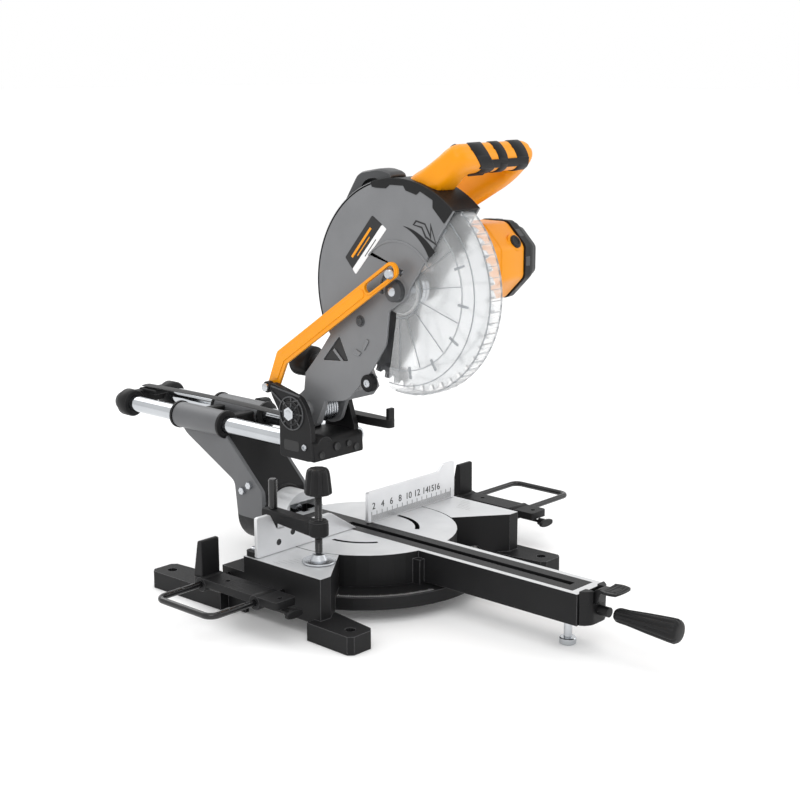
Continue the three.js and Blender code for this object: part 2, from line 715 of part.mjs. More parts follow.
// The bracket that joins the rails' front ends and carries the head's hinge.
function headBracket() {
  const cheek = [
    [98, 166],
    [40, 166],
    [40, 210],
    [49, 236],
    [60, 248],
    ...arc(EAR_Y, EAR_Z, 7, 110, -20, 5),
    [98, 224],
  ];
  const farCheek = [[98, 166], [44, 166], [44, 200], ...arc(PIVOT_Y, PIVOT_Z, 21, 170, 0, 10), [98, 200]];
  const left = slabX(upright(cheek), BRACKET_LEFT, BRACKET_LEFT + 8);
  const right = slabX(upright(farCheek), 24, 32);
  const floor = block(BRACKET_LEFT, 34, 166, 32, 98, 196);
  const far = join(
    barY(RAIL_X, RAIL_Z, 62, 98, SLEEVE_R - 1, SLEEVE_R - 1, 24),
    block(20, 62, 166, RAIL_X, 98, 190),
  );
  const rear = block(-18, 92, 190, 10, 112, 201);
  const tools = [
    block(BRACKET_LEFT + 8 + GAP, 42, 194.6, 24 - GAP, 120, 260),
    barX(PIVOT_Y, PIVOT_Z, BRACKET_LEFT - 1, 40, PIVOT_R + GAP, PIVOT_R + GAP, 16),
    barX(EAR_Y, EAR_Z, BRACKET_LEFT - 1, BRACKET_LEFT + 10, 3 + GAP, 3 + GAP, 12),
  ];
  const bore = RAIL_R + GAP;
  const bores = [-RAIL_X, RAIL_X].map((x) => barY(x, RAIL_Z, RAIL_FRONT - GAP, 120, bore, bore, 24));
  const body = cut(join(left, right, floor, far), ...tools, ...bores);
  const boss = cut(barZ(STOP_X, STOP_Y, 195.5, STOP_Z - RUN, 9, 8.5, 16), ...bores);
  const stopPin = barZ(STOP_X, STOP_Y, 196, STOP_Z + STOP_T + 2, STOP_PIN_R, STOP_PIN_R, 14);
  const shelf = cut(rear, block(-19, 80, 180, 11, 97.5, 210));
  return join(body, shelf, block(-18, 90, 186, 10, 98, 194.6), boss, stopPin);
}

put("head_bracket", headBracket(), blackCasting());

function headPin() {
  const x0 = BRACKET_LEFT - GAP;
  return join(
    barX(PIVOT_Y, PIVOT_Z, x0 - 1, 36, PIVOT_R, PIVOT_R, 16),
    barX(PIVOT_Y, PIVOT_Z, x0 - 6, x0, 9, 9, 6),
    barX(PIVOT_Y, PIVOT_Z, 32 + GAP, 38, 10, 10, 6),
  );
}

put("head_hinge_pin", headPin(), steel());

function stopArm() {
  const plan = [
    [STOP_X - 9, STOP_Y + 6],
    [STOP_X - 9, STOP_Y - 40],
    [STOP_X - 6, -6],
    [STOP_X + 7, -6],
    [STOP_X + 9, STOP_Y - 40],
    [STOP_X + 9, STOP_Y + 6],
  ];
  const flat = slabZ(upright(plan), STOP_Z, STOP_Z + STOP_T);
  const horn = block(STOP_X - 5, -5, STOP_Z + STOP_T - 1, STOP_X + 6, 1, STOP_Z + 26);
  const bore = STOP_PIN_R + RUN;
  return cut(join(flat, horn), barZ(STOP_X, STOP_Y, STOP_Z - 1, STOP_Z + STOP_T + 1, bore, bore, 14));
}

put("depth_stop_arm", stopArm(), blackCasting());

// ---------------------------------------------------------------- head

// Side outline of the upper guard's left wall and the arm below it.
function armOutline() {
  return [
    [45, 241],
    [3, 249],
    [-39, 291],
    [-65, 329],
    [-70, 372],
    ...arc(HUB_Y, HUB_Z, 22, 285, 160, 6),
    ...arc(HUB_Y, HUB_Z, UPPER_R, GUARD_TO, GUARD_FROM, RIM_STEPS),
    [31, 331],
    [55, 300],
    [77, 275],
    [80, 252],
    ...arc(PIVOT_Y, PIVOT_Z, 24, 60, -140, 10),
  ];
}

function upperGuard() {
  const room = UPPER_R - GUARD_WALL;
  const wall = slabX(upright(armOutline()), GUARD_LEFT, GUARD_LEFT + GUARD_WALL);
  const rim = slabX(
    upright(sector(HUB_Y, HUB_Z, UPPER_R - GUARD_WALL, UPPER_R, GUARD_FROM, GUARD_TO, RIM_STEPS)),
    GUARD_LEFT,
    GUARD_RIGHT,
  );
  const back = slabX(
    upright([
      ...arc(HUB_Y, HUB_Z, UPPER_R, GUARD_TO, GUARD_FROM, RIM_STEPS),
      [31, 331],
      [-39, 320],
      ...arc(HUB_Y, HUB_Z, 60, 290, 140, 8),
    ]),
    GUARD_RIGHT - GUARD_WALL,
    GUARD_RIGHT,
  );
  const arm = slabX(
    upright([
      [45, 241],
      [3, 249],
      [-8, 262],
      [18, 318],
      [31, 331],
      [55, 300],
      [77, 275],
      [80, 252],
      ...arc(PIVOT_Y, PIVOT_Z, 24, 60, -140, 10),
    ]),
    GUARD_LEFT,
    GUARD_RIGHT,
  );
  const hub = barX(PIVOT_Y, PIVOT_Z, BRACKET_LEFT + 8 + RUN, GUARD_RIGHT + 4, 15, 15, 20);
  const tools = [
    barX(PIVOT_Y, PIVOT_Z, BRACKET_LEFT, 40, PIVOT_R + RUN, PIVOT_R + RUN, 16),
    barX(PIVOT_Y, PIVOT_Z, -21, 12, 30, 30, 24),
    barX(HUB_Y, HUB_Z, GUARD_RIGHT - 4, GUARD_RIGHT + 1, 24, 24, 24),
    slabX(
      upright(sector(HUB_Y, HUB_Z, LINK_PIN_R - 4, LINK_PIN_R + 4, -14, 112, 12)),
      GUARD_LEFT - 1,
      GUARD_LEFT + GUARD_WALL + 1,
    ),
    slabX(upright([[38, 290], [0, 293], [12, 314]]), GUARD_LEFT - 1, GUARD_LEFT + 7),
    barX(HUB_Y, HUB_Z, GUARD_LEFT + GUARD_WALL, GUARD_RIGHT - GUARD_WALL, room, room, 48),
    barY(-4, 284, -20, 95, 13 + GAP, 13 + GAP, 16),
  ];
  const boss = barX(HUB_Y, HUB_Z, GUARD_LEFT, GUARD_LEFT + GUARD_WALL + 7, 16, 16, 24);
  const bore = barX(HUB_Y, HUB_Z, GUARD_LEFT - 1, GUARD_LEFT + 12, 10, 10, 16);
  return cut(join(cut(join(wall, rim, back, arm, hub), ...tools), boss), bore);
}

put("upper_guard", upperGuard(), greyCasting());

// The cap that covers the blade's screw.
put("arbor_cap", join(
  barX(HUB_Y, HUB_Z, GUARD_LEFT - 2 + GAP, GUARD_LEFT + 6, 10 - GAP, 10 - GAP, 16),
  barX(HUB_Y, HUB_Z, GUARD_LEFT - 9, GUARD_LEFT - GAP, 13, 14, 24),
), blackPlastic());

function torsionSpring() {
  const turns = 6;
  const wire = 1.7;
  const radius = 19;
  class Coil extends THREE.Curve {
    getPoint(t, target = new THREE.Vector3()) {
      const angle = 2 * Math.PI * turns * t + 0.6;
      return target.set(-18 + 27 * t, PIVOT_Y + radius * Math.cos(angle), PIVOT_Z + radius * Math.sin(angle));
    }
  }
  const section = outline(arc(0, 0, wire, 0, 270, 3));
  return new THREE.ExtrudeGeometry(section, { steps: turns * 10, extrudePath: new Coil(), bevelEnabled: false });
}

put("head_return_spring", torsionSpring(), steel());

// ---------------------------------------------------------------- blade, spindle and drive

function blade() {
  const points = [];
  for (let i = 0; i < TEETH; i += 1) {
    const step = 360 / TEETH;
    const at = i * step;
    points.push(polar(HUB_Y, HUB_Z, BLADE_R - 9, at));
    points.push(polar(HUB_Y, HUB_Z, BLADE_R - 3, at + step * 0.78));
    points.push(polar(HUB_Y, HUB_Z, BLADE_R, at + step * 0.97));
  }
  const disc = slabX(upright(points), -BLADE_T / 2, BLADE_T / 2);
  return cut(disc, barX(HUB_Y, HUB_Z, -3, 3, 15 + GAP, 15 + GAP, 24));
}

put("saw_blade", blade(), steel());

function flange(x0) {
  const bore = ARBOR_R + GAP;
  const disc = barX(HUB_Y, HUB_Z, x0, x0 + FLANGE_T, 21, 21, 24);
  return cut(disc, barX(HUB_Y, HUB_Z, x0 - 1, x0 + FLANGE_T + 1, bore, bore, 16));
}

put("flange_outer", flange(-BLADE_T / 2 - GAP - FLANGE_T), steel());
put("flange_inner", flange(BLADE_T / 2 + GAP), steel());
put("arbor_screw", join(
  barX(HUB_Y, HUB_Z, -14, -7 - GAP, 8, 8, 6),
  barX(HUB_Y, HUB_Z, -9.5, -7 - GAP, 13, 13, 20),
), steel());

function spindle() {
  return join(
    barX(HUB_Y, HUB_Z, -7, 42, ARBOR_R, ARBOR_R, 16),
    barX(HUB_Y, HUB_Z, 7, 10, 12, 12, 16),
    barX(HUB_Y, HUB_Z, -BLADE_T / 2, BLADE_T / 2, 15, 15, 24),
  );
}

put("spindle", spindle(), steel());
put("spindle_gear", cut(
  wheel(HUB_Y, HUB_Z, GEAR_X0, GEAR_X1, 30, 25.5, 28.2),
  barX(HUB_Y, HUB_Z, GEAR_X0 - 1, GEAR_X1 + 1, ARBOR_R + GAP, ARBOR_R + GAP, 16),
), steel());

function bearing(y, z, x0, x1, inner, outer) {
  return cut(barX(y, z, x0, x1, outer, outer, 20), barX(y, z, x0 - 1, x1 + 1, inner, inner, 16));
}

put("spindle_bearing", bearing(HUB_Y, HUB_Z, 18.6, 28, ARBOR_R + GAP, 16), steel());

const caseFloor = GUARD_RIGHT + GAP;

function gearCase() {
  const hull = (grow) => {
    const pieces = [
      barX(HUB_Y, HUB_Z, 0, 1, 33 + grow, 33 + grow, 24),
      barX(MOTOR_Y, MOTOR_Z, 0, 1, MOTOR_R + grow, MOTOR_R + grow, 36),
    ];
    return join(...pieces);
  };
  const outer = hull(0).scale(MOTOR_START - GAP - caseFloor, 1, 1).translate(caseFloor, 0, 0);
  const inner = hull(-4).scale(40, 1, 1).translate(caseFloor + 10.5, 0, 0);
  return cut(
    outer,
    inner,
    barX(HUB_Y, HUB_Z, 10, 40, 16 + GAP, 16 + GAP, 24),
    barX(MOTOR_Y, MOTOR_Z, caseFloor - 1, caseFloor + 11, 7, 7, 14),
  );
}

put("gear_case", gearCase(), greyCasting());

// The housing is a round shell with flats, and vents near the cap.
function motorHousing() {
  const shell = barX(MOTOR_Y, MOTOR_Z, MOTOR_START, MOTOR_END, MOTOR_R, MOTOR_R - 1, 36);
  const bore = barX(MOTOR_Y, MOTOR_Z, MOTOR_START + 5, MOTOR_END + 1, MOTOR_R - 4, MOTOR_R - 4, 36);
  const nose = barX(MOTOR_Y, MOTOR_Z, MOTOR_START - 1, MOTOR_START + 6, 16 + GAP, 16 + GAP, 20);
  const brushes = [150, 330].map((angle) => brushBar(angle, MOTOR_R - 8, MOTOR_R + 4, 9 + GAP));
  return cut(shell, bore, nose, ...brushes);
}

function brushBar(angle, from, to, radius) {
  const bar = new THREE.CylinderGeometry(radius, radius, to - from, 20).translate(0, (from + to) / 2, 0);
  bar.rotateX(deg(angle));
  return bar.translate(MOTOR_END - 18, MOTOR_Y, MOTOR_Z);
}

put("motor_housing", motorHousing(), yellowPlastic());

function motorCap() {
  const start = MOTOR_END + GAP;
  const shell = barX(MOTOR_Y, MOTOR_Z, start, CAP_END, MOTOR_R - 1, 40, 36);
  const hollow = barX(MOTOR_Y, MOTOR_Z, start - 1, CAP_END - 5, MOTOR_R - 5, 36, 24);
  const seat = bearing(MOTOR_Y, MOTOR_Z, CAP_END - 14, CAP_END - 3, 11 + GAP, 15);
  const slots = [];
  for (let i = 0; i < 8; i += 1) {
    const angle = 22.5 + i * 45;
    const window = upright(sector(MOTOR_Y, MOTOR_Z, 20, 30, angle - 14, angle + 14, 4));
    slots.push(slabX(window, CAP_END - 8, CAP_END + 1));
  }
  const tab = block(start + 4, MOTOR_Y - 9, MOTOR_Z + 40, CAP_END - 6, MOTOR_Y + 9, MOTOR_Z + 50);
  const toe = block(CAP_END - 12, MOTOR_Y - 50, MOTOR_Z - 8, CAP_END - 2, MOTOR_Y - 36, MOTOR_Z + 8);
  return cut(join(cut(shell, hollow), seat, cut(tab, hollow), cut(toe, hollow)), ...slots);
}

put("motor_end_cap", motorCap(), blackPlastic());

put("stator", bearing(MOTOR_Y, MOTOR_Z, 70, 112, 27, MOTOR_R - 4 - GAP), steel());
put("armature", join(
  wheel(MOTOR_Y, MOTOR_Z, GEAR_X0 + 1, GEAR_X1 + 3, 10, 5.2, 7, 9),
  barX(MOTOR_Y, MOTOR_Z, 24, CAP_END - 6, 4, 4, 14),
  wheel(MOTOR_Y, MOTOR_Z, 72, 110, 12, 23, 26),
  barX(MOTOR_Y, MOTOR_Z, 116, 130, 12, 12, 24),
), copper());
put("cooling_fan", cut(
  join(barX(MOTOR_Y, MOTOR_Z, 58, 60, 38, 38, 24), wheel(MOTOR_Y, MOTOR_Z, 59.5, 67, 12, 12, 37)),
  barX(MOTOR_Y, MOTOR_Z, 50, 70, 4 + GAP, 4 + GAP, 14),
), blackPlastic());
put("motor_bearing_front", bearing(MOTOR_Y, MOTOR_Z, MOTOR_START + 0.2, MOTOR_START + 10, 4 + GAP, 16), steel());
put("motor_bearing_rear", bearing(MOTOR_Y, MOTOR_Z, CAP_END - 14, CAP_END - 7, 4 + GAP, 11), steel());

// ---------------------------------------------------------------- lower guard and its link

function lowerGuard() {
  const cheek = slabX(
    upright([
      ...arc(HUB_Y, HUB_Z, LOWER_R, LOWER_FROM, LOWER_TO, RIM_STEPS),
      ...arc(HUB_Y, HUB_Z, 28, LOWER_TO, 470 - 8, 8),
    ]),
    LOWER_LEFT,
    LOWER_LEFT + LOWER_WALL,
  );
  const rim = slabX(
    upright(sector(HUB_Y, HUB_Z, LOWER_R - LOWER_WALL, LOWER_R, LOWER_FROM, LOWER_TO, RIM_STEPS)),
    LOWER_LEFT,
    LOWER_RIGHT,
  );
  const lip = slabX(
    upright(sector(HUB_Y, HUB_Z, 104, LOWER_R, LOWER_FROM, LOWER_TO, RIM_STEPS)),
    LOWER_RIGHT - LOWER_WALL,
    LOWER_RIGHT,
  );
  const eye = barX(HUB_Y, HUB_Z, LOWER_LEFT - 1, LOWER_LEFT + 4, 16 + RUN, 16 + RUN, 24);
  return cut(join(cheek, rim, lip), eye);
}

put("lower_guard", lowerGuard(), clearPlastic());

const PIN_Y = HUB_Y + LINK_PIN_R * Math.cos(deg(LINK_PIN_ANGLE));
const PIN_Z = HUB_Z + LINK_PIN_R * Math.sin(deg(LINK_PIN_ANGLE));

put("guard_pin", join(
  barX(PIN_Y, PIN_Z, LINK_X - 2, LOWER_LEFT - GAP, LINK_PIN_RADIUS, LINK_PIN_RADIUS, 12),
  barX(PIN_Y, PIN_Z, LINK_X - 5, LINK_X - GAP - 0.5, 8.5, 8.5, 16),
), steel());

// The link: a bent flat bar, pinned to the bracket, whose slotted end pulls on the guard's pin.

function link() {
  const half = LINK_W / 2;
  const strip = (y0, z0, y1, z1, w0, w1) => {
    const length = Math.hypot(y1 - y0, z1 - z0);
    const ny = -(z1 - z0) / length;
    const nz = (y1 - y0) / length;
    const points = [
      [y0 + ny * w0, z0 + nz * w0],
      [y0 - ny * w0, z0 - nz * w0],
      [y1 - ny * w1, z1 - nz * w1],
      [y1 + ny * w1, z1 + nz * w1],
    ];
    return slabX(upright(points), LINK_X, LINK_X + LINK_T);
  };
  const reach = Math.hypot(BEND_Y - PIN_Y, BEND_Z - PIN_Z);
  const alongY = (BEND_Y - PIN_Y) / reach;
  const alongZ = (BEND_Z - PIN_Z) / reach;
  const tipY = PIN_Y - alongY * SLOT_START - alongZ * SLOT_SIDE;
  const tipZ = PIN_Z - alongZ * SLOT_START + alongY * SLOT_SIDE;
  const endY = tipY + alongY * SLOT_LENGTH;
  const endZ = tipZ + alongZ * SLOT_LENGTH;
  const bar = join(
    strip(EAR_Y, EAR_Z, BEND_Y, BEND_Z, half - 1, half),
    strip(BEND_Y, BEND_Z, tipY, tipZ, half, half),
    barX(EAR_Y, EAR_Z, LINK_X, LINK_X + LINK_T, half - 1, half - 1, 16),
    barX(BEND_Y, BEND_Z, LINK_X, LINK_X + LINK_T, half, half, 20),
    barX(tipY, tipZ, LINK_X, LINK_X + LINK_T, half, half, 20),
  );
  const slot = [
    strip(tipY, tipZ, endY, endZ, SLOT_HALF, SLOT_HALF).translate(-1, 0, 0),
    strip(tipY, tipZ, endY, endZ, SLOT_HALF, SLOT_HALF).translate(1, 0, 0),
    barX(tipY, tipZ, LINK_X - 1, LINK_X + LINK_T + 1, SLOT_HALF, SLOT_HALF, 16),
    barX(endY, endZ, LINK_X - 1, LINK_X + LINK_T + 1, SLOT_HALF, SLOT_HALF, 16),
  ];
  return cut(bar, ...slot, barX(EAR_Y, EAR_Z, LINK_X - 1, LINK_X + LINK_T + 1, 3 + GAP, 3 + GAP, 12));
}

put("guard_link", link(), yellowPaint());
put("link_pivot_pin", join(
  barX(EAR_Y, EAR_Z, BRACKET_LEFT - 3, LINK_X + LINK_T + 3, 3, 3, 12),
  barX(EAR_Y, EAR_Z, BRACKET_LEFT - 4, BRACKET_LEFT - GAP, 5.5, 5.5, 14),
  barX(EAR_Y, EAR_Z, LINK_X + LINK_T + RUN, LINK_X + LINK_T + 3, 5, 5, 14),
), steel());

// ---------------------------------------------------------------- handle

// From the loop's own plane to the machine: u runs along X, v up the slope, w down and forward.
function loopPlane(geometry) {
  const tilt = deg(HANDLE_TILT);
  const turned = new THREE.Matrix4().makeBasis(
    new THREE.Vector3(1, 0, 0),
    new THREE.Vector3(0, -Math.cos(tilt), Math.sin(tilt)),
    new THREE.Vector3(0, -Math.sin(tilt), -Math.cos(tilt)),
  );
  return geometry.applyMatrix4(turned).translate(0, HANDLE_Y, HANDLE_Z);
}

function roundedShape(points, radius) {
  const shape = new THREE.Shape();
  points.forEach(([u, v], i) => {
    const here = new THREE.Vector2(u, v);
    const before = new THREE.Vector2(...points[(i + points.length - 1) % points.length]);
    const after = new THREE.Vector2(...points[(i + 1) % points.length]);
    const inPoint = here.clone().add(before.sub(here).setLength(radius));
    const outPoint = here.clone().add(after.sub(here).setLength(radius));
    if (i === 0) {
      shape.moveTo(inPoint.x, inPoint.y);
    } else {
      shape.lineTo(inPoint.x, inPoint.y);
    }
    shape.quadraticCurveTo(here.x, here.y, outPoint.x, outPoint.y);
  });
  shape.closePath();
  return shape;
}

function handleLoop() {
  const outer = roundedShape(
    [
      [19, 34],
      [66, 24],
      [120, 92],
      [GRIP_RIGHT, HANDLE_V],
      [GRIP_LEFT, HANDLE_V],
      [GRIP_LEFT + 2, 100],
    ],
    14,
  );
  const opening = roundedShape(
    [
      [46, 58],
      [60, 56],
      [94, 98],
      [94, HANDLE_V - GRIP_DEPTH],
      [12, HANDLE_V - GRIP_DEPTH],
      [12, 98],
    ],
    7,
  );
  outer.holes.push(opening);
  const edge = 5;
  const body = new THREE.ExtrudeGeometry(outer, {
    depth: HANDLE_T - 2 * edge,
    bevelThickness: edge,
    bevelSize: edge,
    bevelOffset: -edge,
    bevelSegments: 2,
    curveSegments: 4,
  }).translate(0, 0, -HANDLE_T / 2 + edge);
  const root = block(caseFloor + 6, -HANDLE_T / 2 + 2, -26, 66, 0, 40);
  const foot = slabZ([[caseFloor + 4, 8], [68, 8], [66, 40], [caseFloor + 6, 46]], -16, 22);
  const grown = join(body, foot);
  const low = HANDLE_V - GRIP_DEPTH - 1;
  const pocket = block(TRIGGER_FROM - GAP, low, -6 - GAP, TRIGGER_TO + GAP, HANDLE_V - 16, 6 + GAP);
  const button = barZ(LOCK_U, LOCK_V, -HANDLE_T, -HANDLE_T / 2 + 14, 5 + GAP, 5 + GAP, 12);
  const seat = solid(loopPlane(cut(grown, pocket, button)));
  const clearances = [
    barX(MOTOR_Y, MOTOR_Z, 0, 200, MOTOR_R + GAP, MOTOR_R + GAP, 36),
    barX(HUB_Y, HUB_Z, GUARD_LEFT - 1, GUARD_RIGHT + GAP, UPPER_R + GAP, UPPER_R + GAP, 48),
  ];
  return clearances.map(solid).reduce((rest, tool) => rest.subtract(tool), seat);
}

put("handle", geometryOf(handleLoop()), yellowPlastic());

// The trigger slides up the slope into the grip; the lock-off button is pushed in from behind.
function trigger() {
  const plate = block(TRIGGER_FROM, HANDLE_V - GRIP_DEPTH - 9, -6, TRIGGER_TO, HANDLE_V - 24, 6);
  return loopPlane(plate);
}

put("trigger", trigger(), blackPlastic());
const lockButton = barZ(LOCK_U, LOCK_V, -HANDLE_T / 2 - 3, -HANDLE_T / 2 + 9, 5, 5, 12);
put("lock_off_button", loopPlane(lockButton), blackPlastic());

// The carry handle bridges the guard's rim behind the yellow handle.
function carryHandle() {
  const ring = upright([
    polar(HUB_Y, HUB_Z, UPPER_R + GAP, 46),
    [-3, 520],
    [-14, 538],
    [-48, 544],
    [-66, 540],
    polar(HUB_Y, HUB_Z, UPPER_R + GAP, 84),
    polar(HUB_Y, HUB_Z, UPPER_R + GAP, 76),
    [-42, 534],
    [-26, 531],
    [-16, 518],
    polar(HUB_Y, HUB_Z, UPPER_R + GAP, 56),
    polar(HUB_Y, HUB_Z, UPPER_R + GAP, 51),
  ]);
  return cut(slabX(ring, -26, 2), barX(HUB_Y, HUB_Z, -40, 30, UPPER_R + GAP, UPPER_R + GAP, 48));
}

put("carry_handle", carryHandle(), blackPlastic());

// The dust port is a tube that leaves the back of the arm.
function dustPort() {
  const tube = cut(barY(-4, 284, 86, 116, 20, 21, 20), barY(-4, 284, 90, 117, 17, 18, 20));
  return cut(join(tube, barY(-4, 284, 52, 88, 13, 13, 16)), barY(-4, 284, 50, 95, 10, 10, 14));
}

put("dust_port", dustPort(), blackPlastic());

// ---------------------------------------------------------------- hold-down clamp

function clampPost() {
  return barZ(CLAMP_X, CLAMP_POST_Y, CLAMP_POST_BOTTOM, CLAMP_POST_TOP, CLAMP_POST_R, CLAMP_POST_R, 14);
}

put("clamp_post", clampPost(), blackCasting());

function clampArm() {
  const post = CLAMP_POST_Y;
  const side = [
    [post + 13, CLAMP_ARM_Z],
    [post + 13, CLAMP_ARM_Z + 18],
    [CLAMP_SCREW_Y - 9, CLAMP_ARM_Z + 16],
    [CLAMP_SCREW_Y - 9, CLAMP_ARM_Z - 2],
    [CLAMP_SCREW_Y + 8, CLAMP_ARM_Z - 2],
    [post - 8, CLAMP_ARM_Z + 3],
  ];
  return cut(
    slabX(upright(side), CLAMP_X - 9, CLAMP_X + 9),
    barZ(CLAMP_X, post, CLAMP_ARM_Z - 5, CLAMP_ARM_Z + 20, CLAMP_POST_R + GAP, CLAMP_POST_R + GAP, 14),
    barZ(CLAMP_X, CLAMP_SCREW_Y, CLAMP_ARM_Z - 5, CLAMP_ARM_Z + 20, 5 + GAP, 5 + GAP, 14),
  );
}

put("clamp_arm", clampArm(), blackCasting());

function clampScrew() {
  const knob = cut(
    barZ(CLAMP_X, CLAMP_SCREW_Y, KNOB_BOTTOM, KNOB_TOP, 17, 13.5, 24),
    ...Array.from({ length: 8 }, (_, i) => {
      const [x, y] = polar(CLAMP_X, CLAMP_SCREW_Y, 18, i * 45);
      return barZ(x, y, KNOB_BOTTOM - 2, KNOB_TOP - 9, 3, 3, 8);
    }),
  );
  return join(barZ(CLAMP_X, CLAMP_SCREW_Y, 86, KNOB_BOTTOM + 8, 5, 5, 14), knob);
}

put("clamp_screw", clampScrew(), blackPlastic());
put("clamp_pad", join(
  barZ(CLAMP_X, CLAMP_SCREW_Y, TABLE_Z + GAP, TABLE_Z + 2.6, 21, 20, 24),
  barZ(CLAMP_X, CLAMP_SCREW_Y, TABLE_Z + 2, 86 - GAP, 10, 7, 16),
), steel());

// ---------------------------------------------------------------- table extensions

// Each side has a bent wire that slides in the base, and a stop bar that slides on the wire.
function extensionWire(side, inner, outer) {
  return rod(
    [
      [side * inner, WIRE_FRONT, WIRE_Z],
      [side * outer, WIRE_FRONT, WIRE_Z],
      [side * outer, WIRE_REAR, WIRE_Z],
      [side * inner, WIRE_REAR, WIRE_Z],
    ],
    WIRE_R,
    14,
  );
}

function extensionBar(side, near, far) {
  const x = [side * near, side * far].sort((a, b) => a - b);
  const bar = block(x[0], -77, 41, x[1], 72, 51);
  const keel = block(x[0] + 4, -56, 31, x[1] - 4, -20, 42);
  const heel = block(x[0] + 4, 46, 31, x[1] - 4, 70, 42);
  const gusset = slabX(upright([[58, 50], [72, 50], [64, 97], [58, 97]]), x[0] + 2, x[1] - 2);
  const bore = WIRE_R + RUN;
  const legs = [WIRE_FRONT, WIRE_REAR].map((y) => barX(y, WIRE_Z, x[0] - 1, x[1] + 1, bore, bore, 12));
  const screw = barY((x[0] + x[1]) / 2, 36.5, -80, -40, 2 + RUN, 2 + RUN, 12);
  return cut(join(bar, keel, heel, gusset), ...legs, screw);
}

function extensionScrew(side, near, far) {
  const x = (side * (near + far)) / 2;
  return join(
    barY(x, 36.5, -92, WIRE_FRONT - WIRE_R - 1, 2, 2, 12),
    barY(x, 36.5, -90, -84, 5, 5, 12),
    block(x - 10, -91, 35, x + 10, -87, 38),
  );
}

// How far each wire and bar stands out from the fixed table's side.
const EXTENSIONS = [
  { side: -1, label: "left", tail: -62.5, reach: 115.5, bar: 13.5 },
  { side: 1, label: "right", tail: -16.5, reach: 203.5, bar: 67.5 },
];

for (const { side, label, tail, reach, bar } of EXTENSIONS) {
  const [inner, outer, near] = [tail, reach, bar].map((v) => BLOCK_X + v);
  const far = near + 33;
  put(`extension_wire_${label}`, extensionWire(side, inner, outer), blackCasting());
  put(`extension_bar_${label}`, extensionBar(side, near, far), blackCasting());
  put(`extension_screw_${label}`, extensionScrew(side, near, far), steel());
}

const bounds = new THREE.Box3().setFromObject(machine);
machine.position.set(-(bounds.min.x + bounds.max.x) / 2, -(bounds.min.y + bounds.max.y) / 2, -bounds.min.z);

export default machine;
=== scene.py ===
# %% [markdown]
# # A sliding miter saw, dressed
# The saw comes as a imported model: every casting, rail, guard and knob already has its true size, its
# place and its joint. Here each visible piece gets its real surface. Some CAD nodes keep their shape and
# only take a material; the ones with round, fluted or sculpted faces are replaced by finer surfaces.

# %% Load the machine
import json
import math

import bpy
import numpy as np
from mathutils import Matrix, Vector
from mathutils.geometry import tessellate_polygon


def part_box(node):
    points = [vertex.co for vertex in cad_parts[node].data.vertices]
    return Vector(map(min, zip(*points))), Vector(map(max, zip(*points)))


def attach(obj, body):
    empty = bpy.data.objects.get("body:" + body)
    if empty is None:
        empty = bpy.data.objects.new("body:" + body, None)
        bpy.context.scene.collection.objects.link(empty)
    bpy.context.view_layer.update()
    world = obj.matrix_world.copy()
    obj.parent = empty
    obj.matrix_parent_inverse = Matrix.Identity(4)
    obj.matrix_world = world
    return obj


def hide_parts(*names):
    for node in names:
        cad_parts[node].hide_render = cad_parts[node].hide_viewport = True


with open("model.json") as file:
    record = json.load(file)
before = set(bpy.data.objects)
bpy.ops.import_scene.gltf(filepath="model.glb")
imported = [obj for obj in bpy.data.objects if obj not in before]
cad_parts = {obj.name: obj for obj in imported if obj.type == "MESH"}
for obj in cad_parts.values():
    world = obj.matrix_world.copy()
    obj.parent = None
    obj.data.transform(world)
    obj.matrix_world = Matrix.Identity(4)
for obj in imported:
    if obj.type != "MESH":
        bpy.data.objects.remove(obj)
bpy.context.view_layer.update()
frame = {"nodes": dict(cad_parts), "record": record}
MM = 0.001

# %% [markdown]
# Everything is measured in millimetres from the turntable's axis on the bench, X along the fence, Y to
# the back and Z up. The axis is read from the pivot bolt, so the frame stays the only source of places.

# %% Places read from the frame
low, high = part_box("turntable_pivot_bolt")
AXIS = np.array([(low.x + high.x) / 2, (low.y + high.y) / 2, 0.0])


def span(node):
    """Lowest and highest corner of a CAD node in millimetres from the turntable's axis."""
    lo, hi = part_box(node)
    return (np.array(lo) - AXIS) / MM, (np.array(hi) - AXIS) / MM


def centre(node):
    lo, hi = span(node)
    return (lo + hi) / 2


HUB = centre("saw_blade")[1:]
MOTOR = centre("stator")[1:]
PIVOT = centre("head_hinge_pin")[1:]
EAR = centre("link_pivot_pin")[1:]
PIN = centre("guard_pin")[1:]
TABLE = span("kerf_insert")[1][2]
print("blade axis", HUB.round(1), "motor axis", MOTOR.round(1), "table height", round(TABLE, 1))

# %% [markdown]
# The camera stands in front and to the left, a little above the machine, as far away as a product
# picture is taken from, so the lens is long and the perspective is mild.

# %% Camera
AZIMUTH = math.radians(-47.8)
ELEVATION = math.radians(12.5)
EYE = np.array([-1400.4, -1329.4, 672.8])
lens = bpy.data.cameras.new("camera")
lens.lens = 69.2
lens.sensor_width = 36.0
camera = bpy.data.objects.new("camera", lens)
camera.location = EYE * MM + AXIS
camera.rotation_euler = (math.pi / 2 - ELEVATION, 0, AZIMUTH)
bpy.context.scene.collection.objects.link(camera)
bpy.context.scene.camera = camera
print("camera at", [round(v, 3) for v in camera.location])

# %% [markdown]
# Soft studio light: a bright even sky, one large key panel from the upper left, a fill from the right
# and a strip behind, above a pale plain floor. Long panels give the chrome rails their white streaks.

# %% Light and floor
world = bpy.data.worlds.new("studio")
bpy.context.scene.world = world
world.use_nodes = True
world.node_tree.nodes["Background"].inputs["Color"].default_value = (1, 1, 1, 1)
world.node_tree.nodes["Background"].inputs["Strength"].default_value = 1.0


